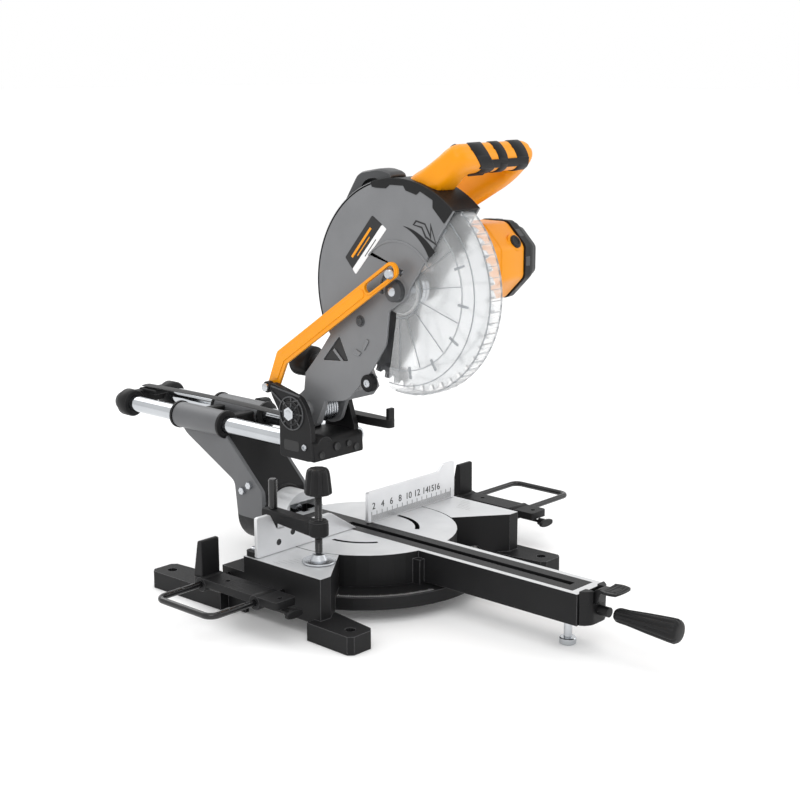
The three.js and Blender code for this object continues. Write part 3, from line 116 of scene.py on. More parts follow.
def panel(name, place, target, size, power):
    light = bpy.data.lights.new(name, "AREA")
    light.shape = "RECTANGLE"
    light.size, light.size_y = size
    light.energy = power
    lamp = bpy.data.objects.new(name, light)
    lamp.location = place
    lamp.rotation_euler = (Vector(target) - Vector(place)).to_track_quat("-Z", "Y").to_euler()
    bpy.context.scene.collection.objects.link(lamp)


panel("key", (-1.9, -1.6, 2.4), (0, 0, 0.25), (1.6, 1.2), 20)
panel("fill", (2.2, -1.5, 1.2), (0, 0, 0.25), (1.4, 1.4), 6)
panel("back", (0.3, 2.3, 1.9), (0, 0, 0.3), (2.0, 0.8), 12)
panel("top", (0, 0, 2.6), (0, 0, 0), (1.6, 1.6), 8)

# %% [markdown]
# A finish is a node tree. One helper adds a node, sets its options and fills its sockets, and one
# recipe builds a coat: broad mottling, a fine grain that moves roughness and height, and lighter edges,
# partly where paint thins and handling rubs and partly a painted highlight where edges catch the light.
# The recipe is fed with what the real finish is.

# %% Node helper and colour
def rgb(code):
    """Turns an sRGB hex colour into linear values: below 0.04045 divided by 12.92, above it a 2.4 power."""
    srgb = np.array([int(code[i:i + 2], 16) for i in (1, 3, 5)]) / 255
    linear = np.where(srgb <= 0.04045, srgb / 12.92, ((srgb + 0.055) / 1.055) ** 2.4)
    return (*linear, 1.0)


def add(tree, kind, settings=None, sockets=None):
    """Adds a node with its settings; a socket takes a value or the output that feeds it."""
    node = tree.nodes.new("ShaderNode" + kind)
    for key, value in (settings or {}).items():
        setattr(node, key, value)
    for key, value in (sockets or {}).items():
        if isinstance(value, bpy.types.NodeSocket):
            tree.links.new(value, node.inputs[key])
        else:
            node.inputs[key].default_value = value
    return node


SKINS = {}


def coat(name, slot, base, tint, metallic=0.0, rough=(0.4, 0.5), grain=0.8, depth=0.02, edge=None,
         edge_mm=0.9, wear_and_highlight=0.5, stretch=(1, 1, 1), sockets=None, top=None):
    """A finish: base and tint mixed by 35 mm clouds, grain in mm, and an edge colour where normals turn,
    partly wear and partly a painted highlight.
    """
    material = bpy.data.materials.new(name)
    material.use_nodes = True
    tree = material.node_tree
    tree.nodes.clear()
    where = add(tree, "TexCoord").outputs["Object"]
    turned = add(tree, "Mapping", {}, {"Vector": where, "Scale": stretch}).outputs[0]
    cloud = add(tree, "TexNoise", {}, {"Vector": where, "Scale": 1 / (35 * MM), "Detail": 5.0})
    fine = add(tree, "TexNoise", {}, {"Vector": turned, "Scale": 1 / (grain * MM), "Detail": 3.0})
    colour = add(tree, "Mix", {"data_type": "RGBA"},
                 {0: cloud.outputs["Fac"], 6: rgb(base), 7: rgb(tint)}).outputs[2]
    if top:
        height, over = top
        level = add(tree, "SeparateXYZ", {}, {0: where}).outputs[2]
        mask = add(tree, "Math", {"operation": "GREATER_THAN"}, {0: level, 1: height * MM}).outputs[0]
    soft = add(tree, "Bevel", {"samples": 4}, {"Radius": edge_mm * MM})
    # Painted highlight: the edge colour is mixed in where the bevel normal turns from the face, partly rubbed
    # paint and partly light caught by the edges.
    if edge:
        flat = add(tree, "NewGeometry").outputs["Normal"]
        turn = add(tree, "VectorMath", {"operation": "DOT_PRODUCT"}, {0: soft.outputs[0], 1: flat})
        rim = add(tree, "MapRange", {}, {0: turn.outputs["Value"], 1: 0.995, 2: 0.86, 3: 0.0, 4: wear_and_highlight})
        rub_and_glint = add(tree, "Math", {"operation": "MULTIPLY_ADD"},
                  {0: fine.outputs["Fac"], 1: 0.7, 2: 0.55}).outputs[0]
        share = add(tree, "Math", {"operation": "MULTIPLY"}, {0: rim.outputs[0], 1: rub_and_glint}).outputs[0]
        colour = add(tree, "Mix", {"data_type": "RGBA"}, {0: share, 6: colour, 7: rgb(edge)}).outputs[2]
    gloss = add(tree, "MapRange", {}, {0: fine.outputs["Fac"], 1: 0.3, 2: 0.7, 3: rough[0], 4: rough[1]})
    bump = add(tree, "Bump", {}, {"Strength": 1.0, "Distance": depth * MM, "Height": fine.outputs["Fac"],
                                  "Normal": soft.outputs[0]})
    shader = add(tree, "BsdfPrincipled", {}, {"Base Color": colour, "Metallic": metallic,
                                              "Roughness": gloss.outputs[0], "Normal": bump.outputs[0]})
    for key, value in (sockets or {}).items():
        shader.inputs[key].default_value = value
    last = shader
    if top:
        scored = add(tree, "TexNoise", {}, {"Vector": turned, "Scale": 1 / (0.6 * MM), "Detail": 2.0})
        bare = add(tree, "Mix", {"data_type": "RGBA"},
                   {0: cloud.outputs["Fac"], 6: rgb(over), 7: rgb("#c9cbcd")})
        sheen = add(tree, "MapRange", {}, {0: scored.outputs["Fac"], 1: 0.3, 2: 0.7, 3: 0.32, 4: 0.46})
        face = add(tree, "BsdfPrincipled", {}, {"Base Color": bare.outputs[2], "Metallic": 0.55,
                                                "Roughness": sheen.outputs[0], "Normal": bump.outputs[0]})
        last = add(tree, "MixShader", {}, {0: mask, 1: shader.outputs[0], 2: face.outputs[0]})
    out = add(tree, "OutputMaterial")
    tree.links.new(last.outputs[0], out.inputs["Surface"])
    SKINS[name] = (material, slot)
    return material


print("helpers ready")

# %% [markdown]
# The finishes, by what they really are. Powder-coated aluminium castings are near black with a fine
# orange peel and pale edges, partly worn and partly a painted highlight; ABS housings are warm yellow
# with a sparkle of moulded texture; the table tops are the bare casting, ground flat; steel is brushed,
# plated or blued.

# %% Finishes
coat("powder_coated_aluminium", "black_casting", "#151516", "#1d1d1e", 0.0, (0.42, 0.56), 1.1, 0.05,
     "#7a7a7c", 1.0, 0.5, sockets={"Specular IOR Level": 0.2})
coat("powder_coated_base", "black_casting", "#151516", "#1d1d1e", 0.0, (0.42, 0.56), 1.1, 0.05,
     "#9a9a9c", 1.0, 0.6, sockets={"Specular IOR Level": 0.2},
     top=(TABLE - 0.12, "#e4e5e6"))
coat("bare_cast_aluminium", "black_casting", "#8f9092", "#a9abad", 0.85, (0.3, 0.45), 1.0, 0.06, "#e0e0e0",
     1.2, 0.7)
coat("gloss_black_steel", "black_steel_rod", "#0c0c0d", "#141415", 0.0, (0.12, 0.2), 1.5, 0.01, "#6c6c6e",
     0.8, 0.3)
coat("grey_painted_casting", "grey_casting", "#5c5d5f", "#68696b", 0.25, (0.36, 0.5), 0.9, 0.04, "#b9babc",
     1.0, 0.6)
coat("guard_grey_paint", "grey_casting", "#737476", "#808183", 0.3, (0.34, 0.48), 0.8, 0.03, "#c6c7c9", 0.9,
     0.6)
coat("ground_aluminium", "machined_aluminium", "#d4d5d7", "#e6e7e9", 0.6, (0.28, 0.42), 0.9, 0.02,
     "#f4f4f4", 0.6, 0.5, stretch=(0.06, 1, 1))
coat("bright_steel", "bright_steel", "#b9bcc0", "#c9ccd0", 1.0, (0.18, 0.32), 0.7, 0.01, "#f0f0f0", 0.5, 0.4)
coat("polished_blade", "bright_steel", "#e6e8ea", "#f4f5f6", 1.0, (0.16, 0.26), 0.7, 0.01, "#ffffff", 0.5,
     0.4)
coat("hard_chrome", "chrome_plate", "#b4b7bb", "#c6c9cc", 1.0, (0.07, 0.14), 1.2, 0.004, stretch=(1, 0.08, 1))
coat("black_nylon", "black_plastic", "#101011", "#181819", 0.0, (0.38, 0.52), 0.7, 0.05, "#6a6b6d", 0.8, 0.4,
     sockets={"Specular IOR Level": 0.25})
coat("dark_grey_nylon", "black_plastic", "#343537", "#3f4042", 0.0, (0.36, 0.5), 0.7, 0.05, "#8d8e90", 0.8,
     0.5)
coat("yellow_abs", "yellow_plastic", "#e89000", "#ee9800", 0.0, (0.34, 0.46), 0.6, 0.03, "#ffb53a", 1.0, 0.35,
     sockets={"Coat Weight": 0.1, "Coat Roughness": 0.25, "Specular IOR Level": 0.25})
coat("yellow_enamel", "yellow_paint", "#ea9300", "#f09c00", 0.0, (0.26, 0.36), 1.2, 0.02, "#ffc050", 0.9, 0.5,
     sockets={"Coat Weight": 0.12, "Coat Roughness": 0.15, "Specular IOR Level": 0.3})
coat("moulded_rubber", "black_rubber", "#121213", "#1b1b1c", 0.0, (0.55, 0.7), 0.6, 0.06, "#5c5d5f", 0.8,
     0.35, sockets={"Specular IOR Level": 0.2})
coat("grip_rubber", "yellow_plastic", "#141415", "#1e1e20", 0.0, (0.45, 0.6), 0.6, 0.06, "#5c5d5f", 0.8, 0.4,
     sockets={"Specular IOR Level": 0.2})
coat("copper_wire", "copper_winding", "#9a5a30", "#b87242", 1.0, (0.25, 0.4), 0.5, 0.05, stretch=(0.1, 1, 1))
coat("white_print", "machined_aluminium", "#e9e9e9", "#f2f2f2", 0.0, (0.4, 0.5), 0.8, 0.01)
# The black print also serves as painted shade in holes, a recess and the guard's window.
coat("black_print_and_painted_shade", "machined_aluminium", "#101011", "#18181a", 0.0, (0.4, 0.5), 0.8, 0.01)
print("finishes", len(SKINS))

# %% [markdown]
# Polycarbonate is clear with a faint milky scuff. It lets most light straight through and shows itself
# by its gloss and by the thickness seen at ribs and edges; its white coverage also rises with a facing
# term, a painted sheen where the surface turns away from the eye.

# %% Clear polycarbonate
def clear_guard(name="clear_polycarbonate"):
    material = bpy.data.materials.new(name)
    material.use_nodes = True
    tree = material.node_tree
    tree.nodes.clear()
    where = add(tree, "TexCoord").outputs["Object"]
    scuff = add(tree, "TexNoise", {}, {"Vector": where, "Scale": 1 / (40 * MM), "Detail": 3.0})
    grazing_sheen = add(tree, "LayerWeight", {}, {"Blend": 0.35}).outputs["Facing"]
    veil = add(tree, "MapRange", {}, {0: scuff.outputs["Fac"], 1: 0.3, 2: 0.75, 3: 0.05, 4: 0.13}).outputs[0]
    # Painted sheen: the facing term adds white coverage at grazing angles on top of the milky scuff.
    cover = add(tree, "Math", {"operation": "MULTIPLY_ADD", "use_clamp": True}, {0: grazing_sheen, 1: 0.45, 2: veil})
    gloss = add(tree, "MapRange", {}, {0: scuff.outputs["Fac"], 1: 0.3, 2: 0.7, 3: 0.05, 4: 0.14}).outputs[0]
    tone = add(tree, "Mix", {"data_type": "RGBA"},
               {0: scuff.outputs["Fac"], 6: rgb("#ffffff"), 7: rgb("#eef1f3")})
    shader = add(tree, "BsdfPrincipled", {}, {"Base Color": tone.outputs[2], "Roughness": gloss,
                                              "Alpha": cover.outputs[0], "IOR": 1.58})
    out = add(tree, "OutputMaterial")
    tree.links.new(shader.outputs[0], out.inputs["Surface"])
    SKINS[name] = (material, "clear_plastic")


clear_guard()
coat("clear_painted_highlight", "clear_plastic", "#8d9296", "#a3a8ac", 0.0, (0.1, 0.2), 1.0, 0.01, sockets={"Alpha": 0.55})
print("clear guard finish ready")

# %% [markdown]
# Every CAD node first takes the finish of its record slot, so that nothing is left plain. Pieces that
# are replaced later are hidden anyway.

# %% Finish of the CAD nodes
BY_SLOT = {
    "black_casting": "powder_coated_aluminium", "black_steel_rod": "gloss_black_steel",
    "grey_casting": "grey_painted_casting", "machined_aluminium": "ground_aluminium",
    "bright_steel": "bright_steel", "chrome_plate": "hard_chrome", "black_plastic": "black_nylon",
    "yellow_plastic": "yellow_abs", "yellow_paint": "yellow_enamel", "clear_plastic": "clear_polycarbonate",
    "black_rubber": "moulded_rubber", "copper_winding": "copper_wire",
}
GROUND_TOPS = ("base_casting", "turntable")
for entry in frame["record"]["subparts"]:
    node = frame["nodes"][entry["node"]]
    node.data.materials.clear()
    skin = "powder_coated_base" if entry["node"] in GROUND_TOPS else BY_SLOT[entry["material_slot"]]
    node.data.materials.append(SKINS[skin][0])

# %% [markdown]
# New pieces are point arrays in millimetres with faces between them. One function puts them into a mesh:
# it turns the shell outwards if its volume comes out negative, marks edges sharper than an angle, adds a
# bevel where the real edge is rounded, gives the finish and lets the piece ride on its CAD body.

# %% Mesh builder
def build(name, points, faces, skin, body, bevel=0.0, replaces=(), angle=40, wall=0.0):
    """Signed volume is the sum of each face fan's corner times the cross product of the next two, over 6."""
    points = np.asarray(points, float) * MM + AXIS
    mesh = bpy.data.meshes.new(name)
    mesh.from_pydata(points.tolist(), [], [list(map(int, face)) for face in faces])
    mesh.update()
    mesh.calc_loop_triangles()
    corners = np.empty(len(mesh.loop_triangles) * 3, np.int32)
    mesh.loop_triangles.foreach_get("vertices", corners)
    a, b, c = points[corners].reshape(-1, 3, 3).transpose(1, 0, 2) - points.mean(0)
    if np.einsum("ij,ij->i", a, np.cross(b, c)).sum() < 0 and not wall:
        mesh.flip_normals()
    mesh.shade_smooth()
    material, slot = SKINS[skin]
    mesh.materials.append(material)
    piece = bpy.data.objects.new(name, mesh)
    bpy.context.scene.collection.objects.link(piece)
    if wall:
        shell = piece.modifiers.new("wall", "SOLIDIFY")
        shell.thickness = wall * MM
        shell.offset = 0
    if bevel:
        rounding = piece.modifiers.new("edges", "BEVEL")
        rounding.width = bevel * MM
        rounding.segments = 2
        rounding.limit_method = "ANGLE"
        rounding.angle_limit = math.radians(35)
        rounding.harden_normals = True
    else:
        mesh.set_sharp_from_angle(angle=math.radians(angle))
    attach(piece, body)
    if replaces:
        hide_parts(*replaces)
    return piece


def grid_faces(rows, cols, closed_rows, closed_cols):
    """Quads between neighbouring rows and columns of a grid, wrapping round where it is closed."""
    r, c = np.meshgrid(np.arange(rows - (not closed_rows)), np.arange(cols - (not closed_cols)),
                       indexing="ij")
    r2, c2 = (r + 1) % rows, (c + 1) % cols
    return np.stack([r * cols + c, r * cols + c2, r2 * cols + c2, r2 * cols + c], -1).reshape(-1, 4).tolist()


BOX = ((0, 1, 2, 3), (7, 6, 5, 4), (0, 4, 5, 1), (1, 5, 6, 2), (2, 6, 7, 3), (3, 7, 4, 0))


def bars(name, blocks, skin, body, **more):
    """Many small bars in one mesh; each is eight corners, the four of one end and then of the other."""
    corners = np.array(blocks, float).reshape(-1, 3)
    faces = [[8 * i + k for k in face] for i in range(len(corners) // 8) for face in BOX]
    return build(name, corners, faces, skin, body, **more)


def bar_on(flat, low, high):
    """Eight corners of an upright bar: a four-sided (y, z) outline between two levels along X."""
    return [(low, y, z) for y, z in flat] + [(high, y, z) for y, z in flat]


def loft(name, rings, skin, body, closed=False, **more):
    """A surface through closed rings, given as an array of rings by points; open ends get a flat cap."""
    rows, cols = rings.shape[:2]
    faces = grid_faces(rows, cols, closed, True)
    if not closed:
        faces += [list(range(cols))[::-1], list(range((rows - 1) * cols, rows * cols))]
    return build(name, rings.reshape(-1, 3), faces, skin, body, **more)


AXES = {"X": ((1, 2), 0), "Y": ((0, 2), 1), "Z": ((0, 1), 2)}


def raised(flat, level, axis):
    """Puts flat (a, b) points at a level along an axis."""
    across, along = AXES[axis]
    points = np.empty((len(flat), 3))
    points[:, across] = flat
    points[:, along] = level
    return points


def area(loop):
    """Shoelace sum: half of each point's cross product with the next."""
    return 0.5 * np.sum(loop[:, 0] * np.roll(loop[:, 1], -1) - loop[:, 1] * np.roll(loop[:, 0], -1))


def prism(name, outline, low, high, axis, skin, body, holes=(), shrink=0.0, **more):
    """An outline with holes carried along an axis; shrink draws the high end in towards its middle."""
    loops = [np.asarray(outline, float)] + [np.asarray(hole, float) for hole in holes]
    loops = [loop if (area(loop) > 0) == (i == 0) else loop[::-1] for i, loop in enumerate(loops)]
    flat = np.concatenate(loops)
    count = len(flat)
    if holes:
        fill = tessellate_polygon([[Vector((*p, 0)) for p in loop] for loop in loops])
        fill = np.array([t for t in fill])
        p, q, r = flat[fill[:, 0]], flat[fill[:, 1]], flat[fill[:, 2]]
        turn = (q[:, 0] - p[:, 0]) * (r[:, 1] - p[:, 1]) - (q[:, 1] - p[:, 1]) * (r[:, 0] - p[:, 0])
        fill = np.where(turn[:, None] > 0, fill, fill[:, ::-1])
        faces = (fill + count).tolist() + fill[:, ::-1].tolist()
    else:
        faces = [list(range(count, 2 * count)), list(range(count))[::-1]]
    start = 0
    for loop in loops:
        i = np.arange(len(loop)) + start
        j = np.roll(i, -1)
        faces += np.stack([i, j, j + count, i + count], -1).tolist()
        start += len(loop)
    middle = (flat.min(0) + flat.max(0)) / 2
    far = middle + (flat - middle) * (1 - shrink)
    points = np.concatenate([raised(flat, low, axis), raised(far, high, axis)])
    return build(name, points, faces, skin, body, **more)


def slab(name, corner, other, skin, body, bevel=1.0, **more):
    """A bevelled block between two opposite corners."""
    (x0, y0, z0), (x1, y1, z1) = corner, other
    return prism(name, [(x0, y0), (x1, y0), (x1, y1), (x0, y1)], z0, z1, "Z", skin, body, bevel=bevel, **more)


def arc(middle, radius, start, end, count):
    """Points on a circle; angles in degrees from the first axis towards the second."""
    turn = np.radians(np.linspace(start, end, count))
    return np.stack([middle[0] + radius * np.cos(turn), middle[1] + radius * np.sin(turn)], -1)


def ring(middle, radius, count=32):
    return arc(middle, radius, 0, 360 * (1 - 1 / count), count)


def rounded(corners, radius, steps=5, edge=1):
    """Each corner becomes a quadratic curve between points on its two sides; edges get extra points."""
    corners = np.asarray(corners, float)
    ahead, behind = np.roll(corners, -1, 0) - corners, np.roll(corners, 1, 0) - corners
    reach = np.minimum(radius, 0.48 * np.minimum(np.linalg.norm(ahead, axis=1),
                                                 np.linalg.norm(behind, axis=1)))
    first = corners + behind / np.linalg.norm(behind, axis=1)[:, None] * reach[:, None]
    last = corners + ahead / np.linalg.norm(ahead, axis=1)[:, None] * reach[:, None]
    t = np.linspace(0, 1, steps)[None, :, None]
    bends = (1 - t) ** 2 * first[:, None] + 2 * t * (1 - t) * corners[:, None] + t ** 2 * last[:, None]
    s = (np.arange(1, edge) / edge)[None, :, None]
    runs = last[:, None] * (1 - s) + np.roll(first, -1, 0)[:, None] * s
    return np.concatenate([bends, runs], 1).reshape(-1, corners.shape[1])


def turned(name, profile, middle, axis, skin, body, sides=64, hollow=False, flutes=None, **more):
    """A profile of (along, radius) pairs turned about an axis. Flutes take depth times the fourth power
    of a half wave off the radius where their weight is above zero."""
    profile = np.asarray(profile, float)
    angle = np.linspace(0, 2 * math.pi, sides, endpoint=False)
    radius = np.repeat(profile[:, 1:2], sides, 1)
    if flutes:
        number, depth, weights = flutes
        radius = radius - depth * np.asarray(weights)[:, None] * np.abs(np.cos(number * angle / 2)) ** 4
    across, along = AXES[axis]
    points = np.empty((*radius.shape, 3))
    points[..., across[0]] = middle[0] + radius * np.cos(angle)
    points[..., across[1]] = middle[1] + radius * np.sin(angle)
    points[..., along] = profile[:, 0:1]
    return loft(name, points, skin, body, closed=hollow, **more)


def pipe(name, path, radius, skin, body, closed=False, sides=16, flat=(1, 1), up=(0, 0, 1), **more):
    """A section carried along a path: the ring stands across the path's direction, one axis kept near up."""
    path = np.asarray(path, float)
    if closed:
        tangent = np.roll(path, -1, 0) - np.roll(path, 1, 0)
    else:
        tangent = np.gradient(path, axis=0)
    tangent /= np.linalg.norm(tangent, axis=1)[:, None]
    side = np.cross(tangent, up)
    side /= np.linalg.norm(side, axis=1)[:, None]
    lift = np.cross(side, tangent)
    angle = np.linspace(0, 2 * math.pi, sides, endpoint=False)[None, :, None]
    radius = np.broadcast_to(radius, len(path))[:, None, None]
    rings = path[:, None] + radius * (flat[0] * np.cos(angle) * side[:, None] + flat[1] * np.sin(angle)
                                      * lift[:, None])
    return loft(name, rings, skin, body, closed=closed, **more)


def screw(name, middle, level, axis, body, radius=3.2, height=1.6, skin="bright_steel"):
    """A pan head with a socket: a turned profile whose middle drops into the socket."""
    way = np.sign(height)
    profile = [(level - way, radius), (level + height * 0.5, radius), (level + height * 0.9, radius * 0.8),
               (level + height, radius * 0.5), (level + height * 0.2, radius * 0.42)]
    return turned(name, profile, middle, axis, skin, body, sides=24)


print("surface helpers ready")

# %% [markdown]
# The slide rails are hard-chromed tubes, closed at the back by grey plugs and joined by a black yoke.
# A turned profile is the whole shape; the streaks on them are only reflections.

# %% Rails, plugs and yoke
RAILS = {"left": centre("rail_left"), "right": centre("rail_right")}
RAIL_LOW, RAIL_HIGH = span("rail_left")
RAIL_R = (RAIL_HIGH[0] - RAIL_LOW[0]) / 2
YOKE = span("rail_yoke")
for side, place in RAILS.items():
    at = place[[0, 2]]
    y0, y1 = RAIL_LOW[1], RAIL_HIGH[1]
    profile = [(y0, RAIL_R - 3), (y0, RAIL_R - 0.8), (y0 + 0.8, RAIL_R), (y1 - 0.8, RAIL_R),
               (y1, RAIL_R - 0.8), (y1, RAIL_R - 3)]
    turned(f"rail_tube_{side}", profile, at, "Y", "hard_chrome", "carriage", 96, True,
           replaces=[f"rail_{side}"])
    plug = [(y1 - 8, RAIL_R - 3.3), (y1 + 0.2, RAIL_R - 3.3), (y1 + 0.2, RAIL_R + 2), (y1 + 5, RAIL_R + 1.6),
            (y1 + 6.5, RAIL_R - 0.5), (y1 + 6.8, 3), (y1 + 5.6, 2)]
    turned(f"rail_plug_{side}", plug, at, "Y", "dark_grey_nylon", "carriage", 48)
    collar = [(YOKE[0][1] + 22, RAIL_R + 0.4), (YOKE[0][1] + 22, 18), (YOKE[0][1] + 24, 19.5),
              (YOKE[1][1] - 3, 19.5), (YOKE[1][1], 17.5), (YOKE[1][1], RAIL_R + 0.4)]
    turned(f"yoke_collar_{side}", collar, at, "Y", "black_nylon", "carriage", 64, True)
yoke_z = RAILS["left"][2]
slab("yoke_bridge", (-28, YOKE[1][1] - 16, yoke_z - 4), (28, YOKE[1][1] - 2, yoke_z + 16),
     "powder_coated_aluminium", "carriage", 2.0, replaces=["rail_yoke"])
slab("yoke_tongue", (-17, YOKE[0][1], yoke_z + 11.5), (7, YOKE[1][1] - 4, yoke_z + 18),
     "powder_coated_aluminium", "carriage", 1.5)
print("rails of radius", RAIL_R, "mm, yoke at y", YOKE[0][1].round(1), YOKE[1][1].round(1))

# %% [markdown]
# A flat plastic strip runs above the sleeves and guides the lead. It is swept as a thin section with
# a shallow bow, as it lies on the yoke and the bracket and lifts a little between them.

# %% Strip above the rails
STRIP = span("cable_guide")
along = np.linspace(STRIP[0][1], STRIP[1][1], 40)
share = (along - along[0]) / (along[-1] - along[0])
bow = 3.0 * np.sin(math.pi * share)
path = np.stack([np.full(40, (STRIP[0][0] + STRIP[1][0]) / 2), along, np.full(40, STRIP[0][2] + 1.6) + bow],
                -1)
pipe("lead_strip", path, 1.0, "black_nylon", "carriage", sides=16, flat=(8.5, 1.4), replaces=["cable_guide"])
print("strip length", round(along[-1] - along[0]), "mm")

# %% [markdown]
# The bevel arm is a grey casting: two sleeves, two cheeks that run down to the round joint behind the
# table, and a web between them, painted near black as shade inside the arm. Cheeks are outlines with
# rounded corners carried across the arm.

# %% Bevel arm
ARM_LOW, ARM_HIGH = span("bevel_arm")
LINER = span("slide_liner_left")
SLEEVE = (ARM_HIGH[0] - RAILS["right"][0])
CUP_R = 42.0
CUP_Z = 62.0
front, back = LINER[0][1] + 5.3, LINER[1][1] - 5.3
cup_front = ARM_LOW[1]
for side, place in RAILS.items():
    at = place[[0, 2]]
    tube = [(front, 14.4), (front, SLEEVE - 1.2), (front + 1.2, SLEEVE), (back - 1.2, SLEEVE),
            (back, SLEEVE - 1.2), (back, 14.4)]
    extra = {"replaces": ["bevel_arm"]} if side == "left" else {}
    turned(f"sleeve_{side}", tube, at, "Y", "grey_painted_casting", "bevel_arm", 96, True, **extra)
    ring_r = SLEEVE + 1.4
    wiper = [(front - 5, RAIL_R + 0.5), (front - 5, ring_r - 2), (front - 3.4, ring_r), (front, ring_r),
             (front + 0.4, 14), (back - 0.4, 14), (back, ring_r), (back + 3.4, ring_r),
             (back + 5, ring_r - 2), (back + 5, RAIL_R + 0.5)]
    turned(f"wiper_{side}", wiper, at, "Y", "black_nylon", "bevel_arm", 80, True,
           replaces=[f"slide_liner_{side}"])
cheek = rounded([(cup_front + 1, CUP_Z - 4), (cup_front + 1, 99), (front, 172), (front + 2, 186),
                 (back - 4, 186), (back - 4, 168), (back - 14, 158), (cup_front + 58, 106),
                 (cup_front + 52, CUP_Z - 4)], 7, 5)
for side, x in [("left", ARM_LOW[0] + 14), ("right", ARM_HIGH[0] - 22)]:
    prism(f"arm_cheek_{side}", cheek, x, x + 8, "X", "grey_painted_casting", "bevel_arm", bevel=2.0)
# Painted shade: the web and the two bridges between the cheeks are near black where the grey casting lies in
# shade inside the arm.
shaded_web = rounded([(cup_front + 0.5, 84), (cup_front + 0.5, 98), (front - 2, 172), (front + 10, 176),
               (front + 10, 164), (cup_front + 14, 90)], 3, 4)
prism("arm_web_painted_shade", shaded_web, -36, 36, "X", "powder_coated_aluminium", "bevel_arm", bevel=1.5)
slab("arm_bridge_front_painted_shade", (-30, front + 6, 166), (30, front + 22, 190), "powder_coated_aluminium",
     "bevel_arm", 3)
slab("arm_bridge_rear_painted_shade", (-30, back - 26, 166), (30, back - 10, 190), "powder_coated_aluminium", "bevel_arm",
     3)
cup = [(cup_front, 8), (cup_front, CUP_R - 1.5), (cup_front + 1.5, CUP_R), (cup_front + 51, CUP_R),
       (cup_front + 54, CUP_R - 2.5), (cup_front + 54, CUP_R - 6), (cup_front + 14, CUP_R - 7),
       (cup_front + 14, 8)]
turned("bevel_cup", cup, (0, CUP_Z), "Y", "powder_coated_aluminium", "bevel_arm", 96, True)
for i, (y, z) in enumerate([(cup_front + 26, 106), (cup_front + 40, 96)]):
    turned(f"arm_bolt_{i}", [(-43.5, 0.5), (-46.5, 0.5), (-46.5, 4.6), (-45.9, 5.4), (-42, 5.4)], (y, z), "X",
           "bright_steel", "bevel_arm", 6, angle=20)
print("bevel arm from y", cup_front.round(1), "to", back.round(1))

# %% [markdown]
# The upper guard is one casting: a flat wall in front of the blade with a triangular window, a rim that
# covers the blade's edge and a back wall, all carried on an arm from the head's hinge. The wall is an
# outline with holes; the rim is a rounded section swung about the blade's axis.

# %% Upper guard
WALL_X = span("arbor_cap")[0][0] + 9
RIM_R = 136.0
RIM_X = 18.0


def polar(middle, radius, angle):
    turn = math.radians(angle)
    return (middle[0] + radius * math.cos(turn), middle[1] + radius * math.sin(turn))


def swung(name, section, middle, start, end, steps, skin, body, **more):
    """Carries (x, radius) pairs round an axis along X, from one angle to another, and caps both ends."""
    section = np.asarray(section, float)
    turn = np.radians(np.linspace(start, end, steps))[:, None]
    rings = np.empty((steps, len(section), 3))
    rings[..., 0] = section[:, 0]
    rings[..., 1] = middle[0] + section[:, 1] * np.cos(turn)
    rings[..., 2] = middle[1] + section[:, 1] * np.sin(turn)
    return loft(name, rings, skin, body, **more)


under = [(45, 241), (3, 249), (-39, 291), (-65, 329), (-70, 372)]
neck = [(31, 331), (55, 300), (77, 275), (80, 252)]
guard_line = np.concatenate([rounded(under + [(-78, 377), (-100, 392), (-106, 405)], 7, 5)[2:-2],
                             arc(HUB, RIM_R - 0.4, 131, -24, 60), neck, arc(PIVOT, 23.6, 60, -140, 24)])
window = rounded([(45, 296), (-1, 300), (15, 331)], 3, 5)
pin_path = np.concatenate([arc(HUB, 28, -14, 112, 24), arc(HUB, 19, 112, -14, 24)])
prism("guard_wall", guard_line, WALL_X, WALL_X + 3, "X", "guard_grey_paint", "head", [window, pin_path],
      bevel=0.7, replaces=["upper_guard"])
section = [(WALL_X, RIM_R - 3), (WALL_X, RIM_R - 1.2), (WALL_X + 1.2, RIM_R), (RIM_X - 1.2, RIM_R),
           (RIM_X, RIM_R - 1.2), (RIM_X, RIM_R - 3)]
swung("guard_rim_back", section, HUB, -24, 72, 48, "guard_grey_paint", "head")
swung("guard_rim_front", section, HUB, 72, 131, 30, "black_nylon", "head")
back_line = np.concatenate([arc(HUB, RIM_R - 0.5, 131, -24, 60), [(31, 331), (-39, 320)],
                            arc(HUB, 60, 290, 140, 24)])
prism("guard_back", back_line, RIM_X - 3, RIM_X, "X", "guard_grey_paint", "head", [ring(HUB, 24, 40)],
      bevel=0.6)
arm_line = np.concatenate([[(45, 241), (3, 249), (-8, 262), (18, 318), (31, 331), (55, 300), (77, 275),
                            (80, 252)], arc(PIVOT, 24, 60, -140, 24)])
mid_line = [(38, 248), (3, 249), (-8, 262), (18, 318), (31, 331), (55, 300), (77, 275), (80, 253), (62, 249)]
prism("guard_arm_mid", mid_line, -21.3, 12.3, "X", "guard_grey_paint", "head", bevel=0.8)
for label, x0, x1 in [("left", WALL_X + 3, -21.5), ("right", 12.5, RIM_X)]:
    prism(f"guard_arm_{label}", arm_line, x0, x1, "X", "guard_grey_paint", "head", [ring(PIVOT, 7.6)],
          bevel=0.8)
boss = [(-38, 7.8), (-38, 11), (-37, 12), (-22, 12), (-22, 7.8)]
turned("guard_hinge_hub", boss, PIVOT, "X", "guard_grey_paint", "head", 64, True)
turned("guard_hub_boss", [(WALL_X - 0.2, 10.4), (WALL_X - 0.2, 15.4), (WALL_X + 1.2, 16.5),
                          (WALL_X + 7, 16.5), (WALL_X + 7, 10.4)], HUB, "X", "guard_grey_paint", "head", 64,
       True)
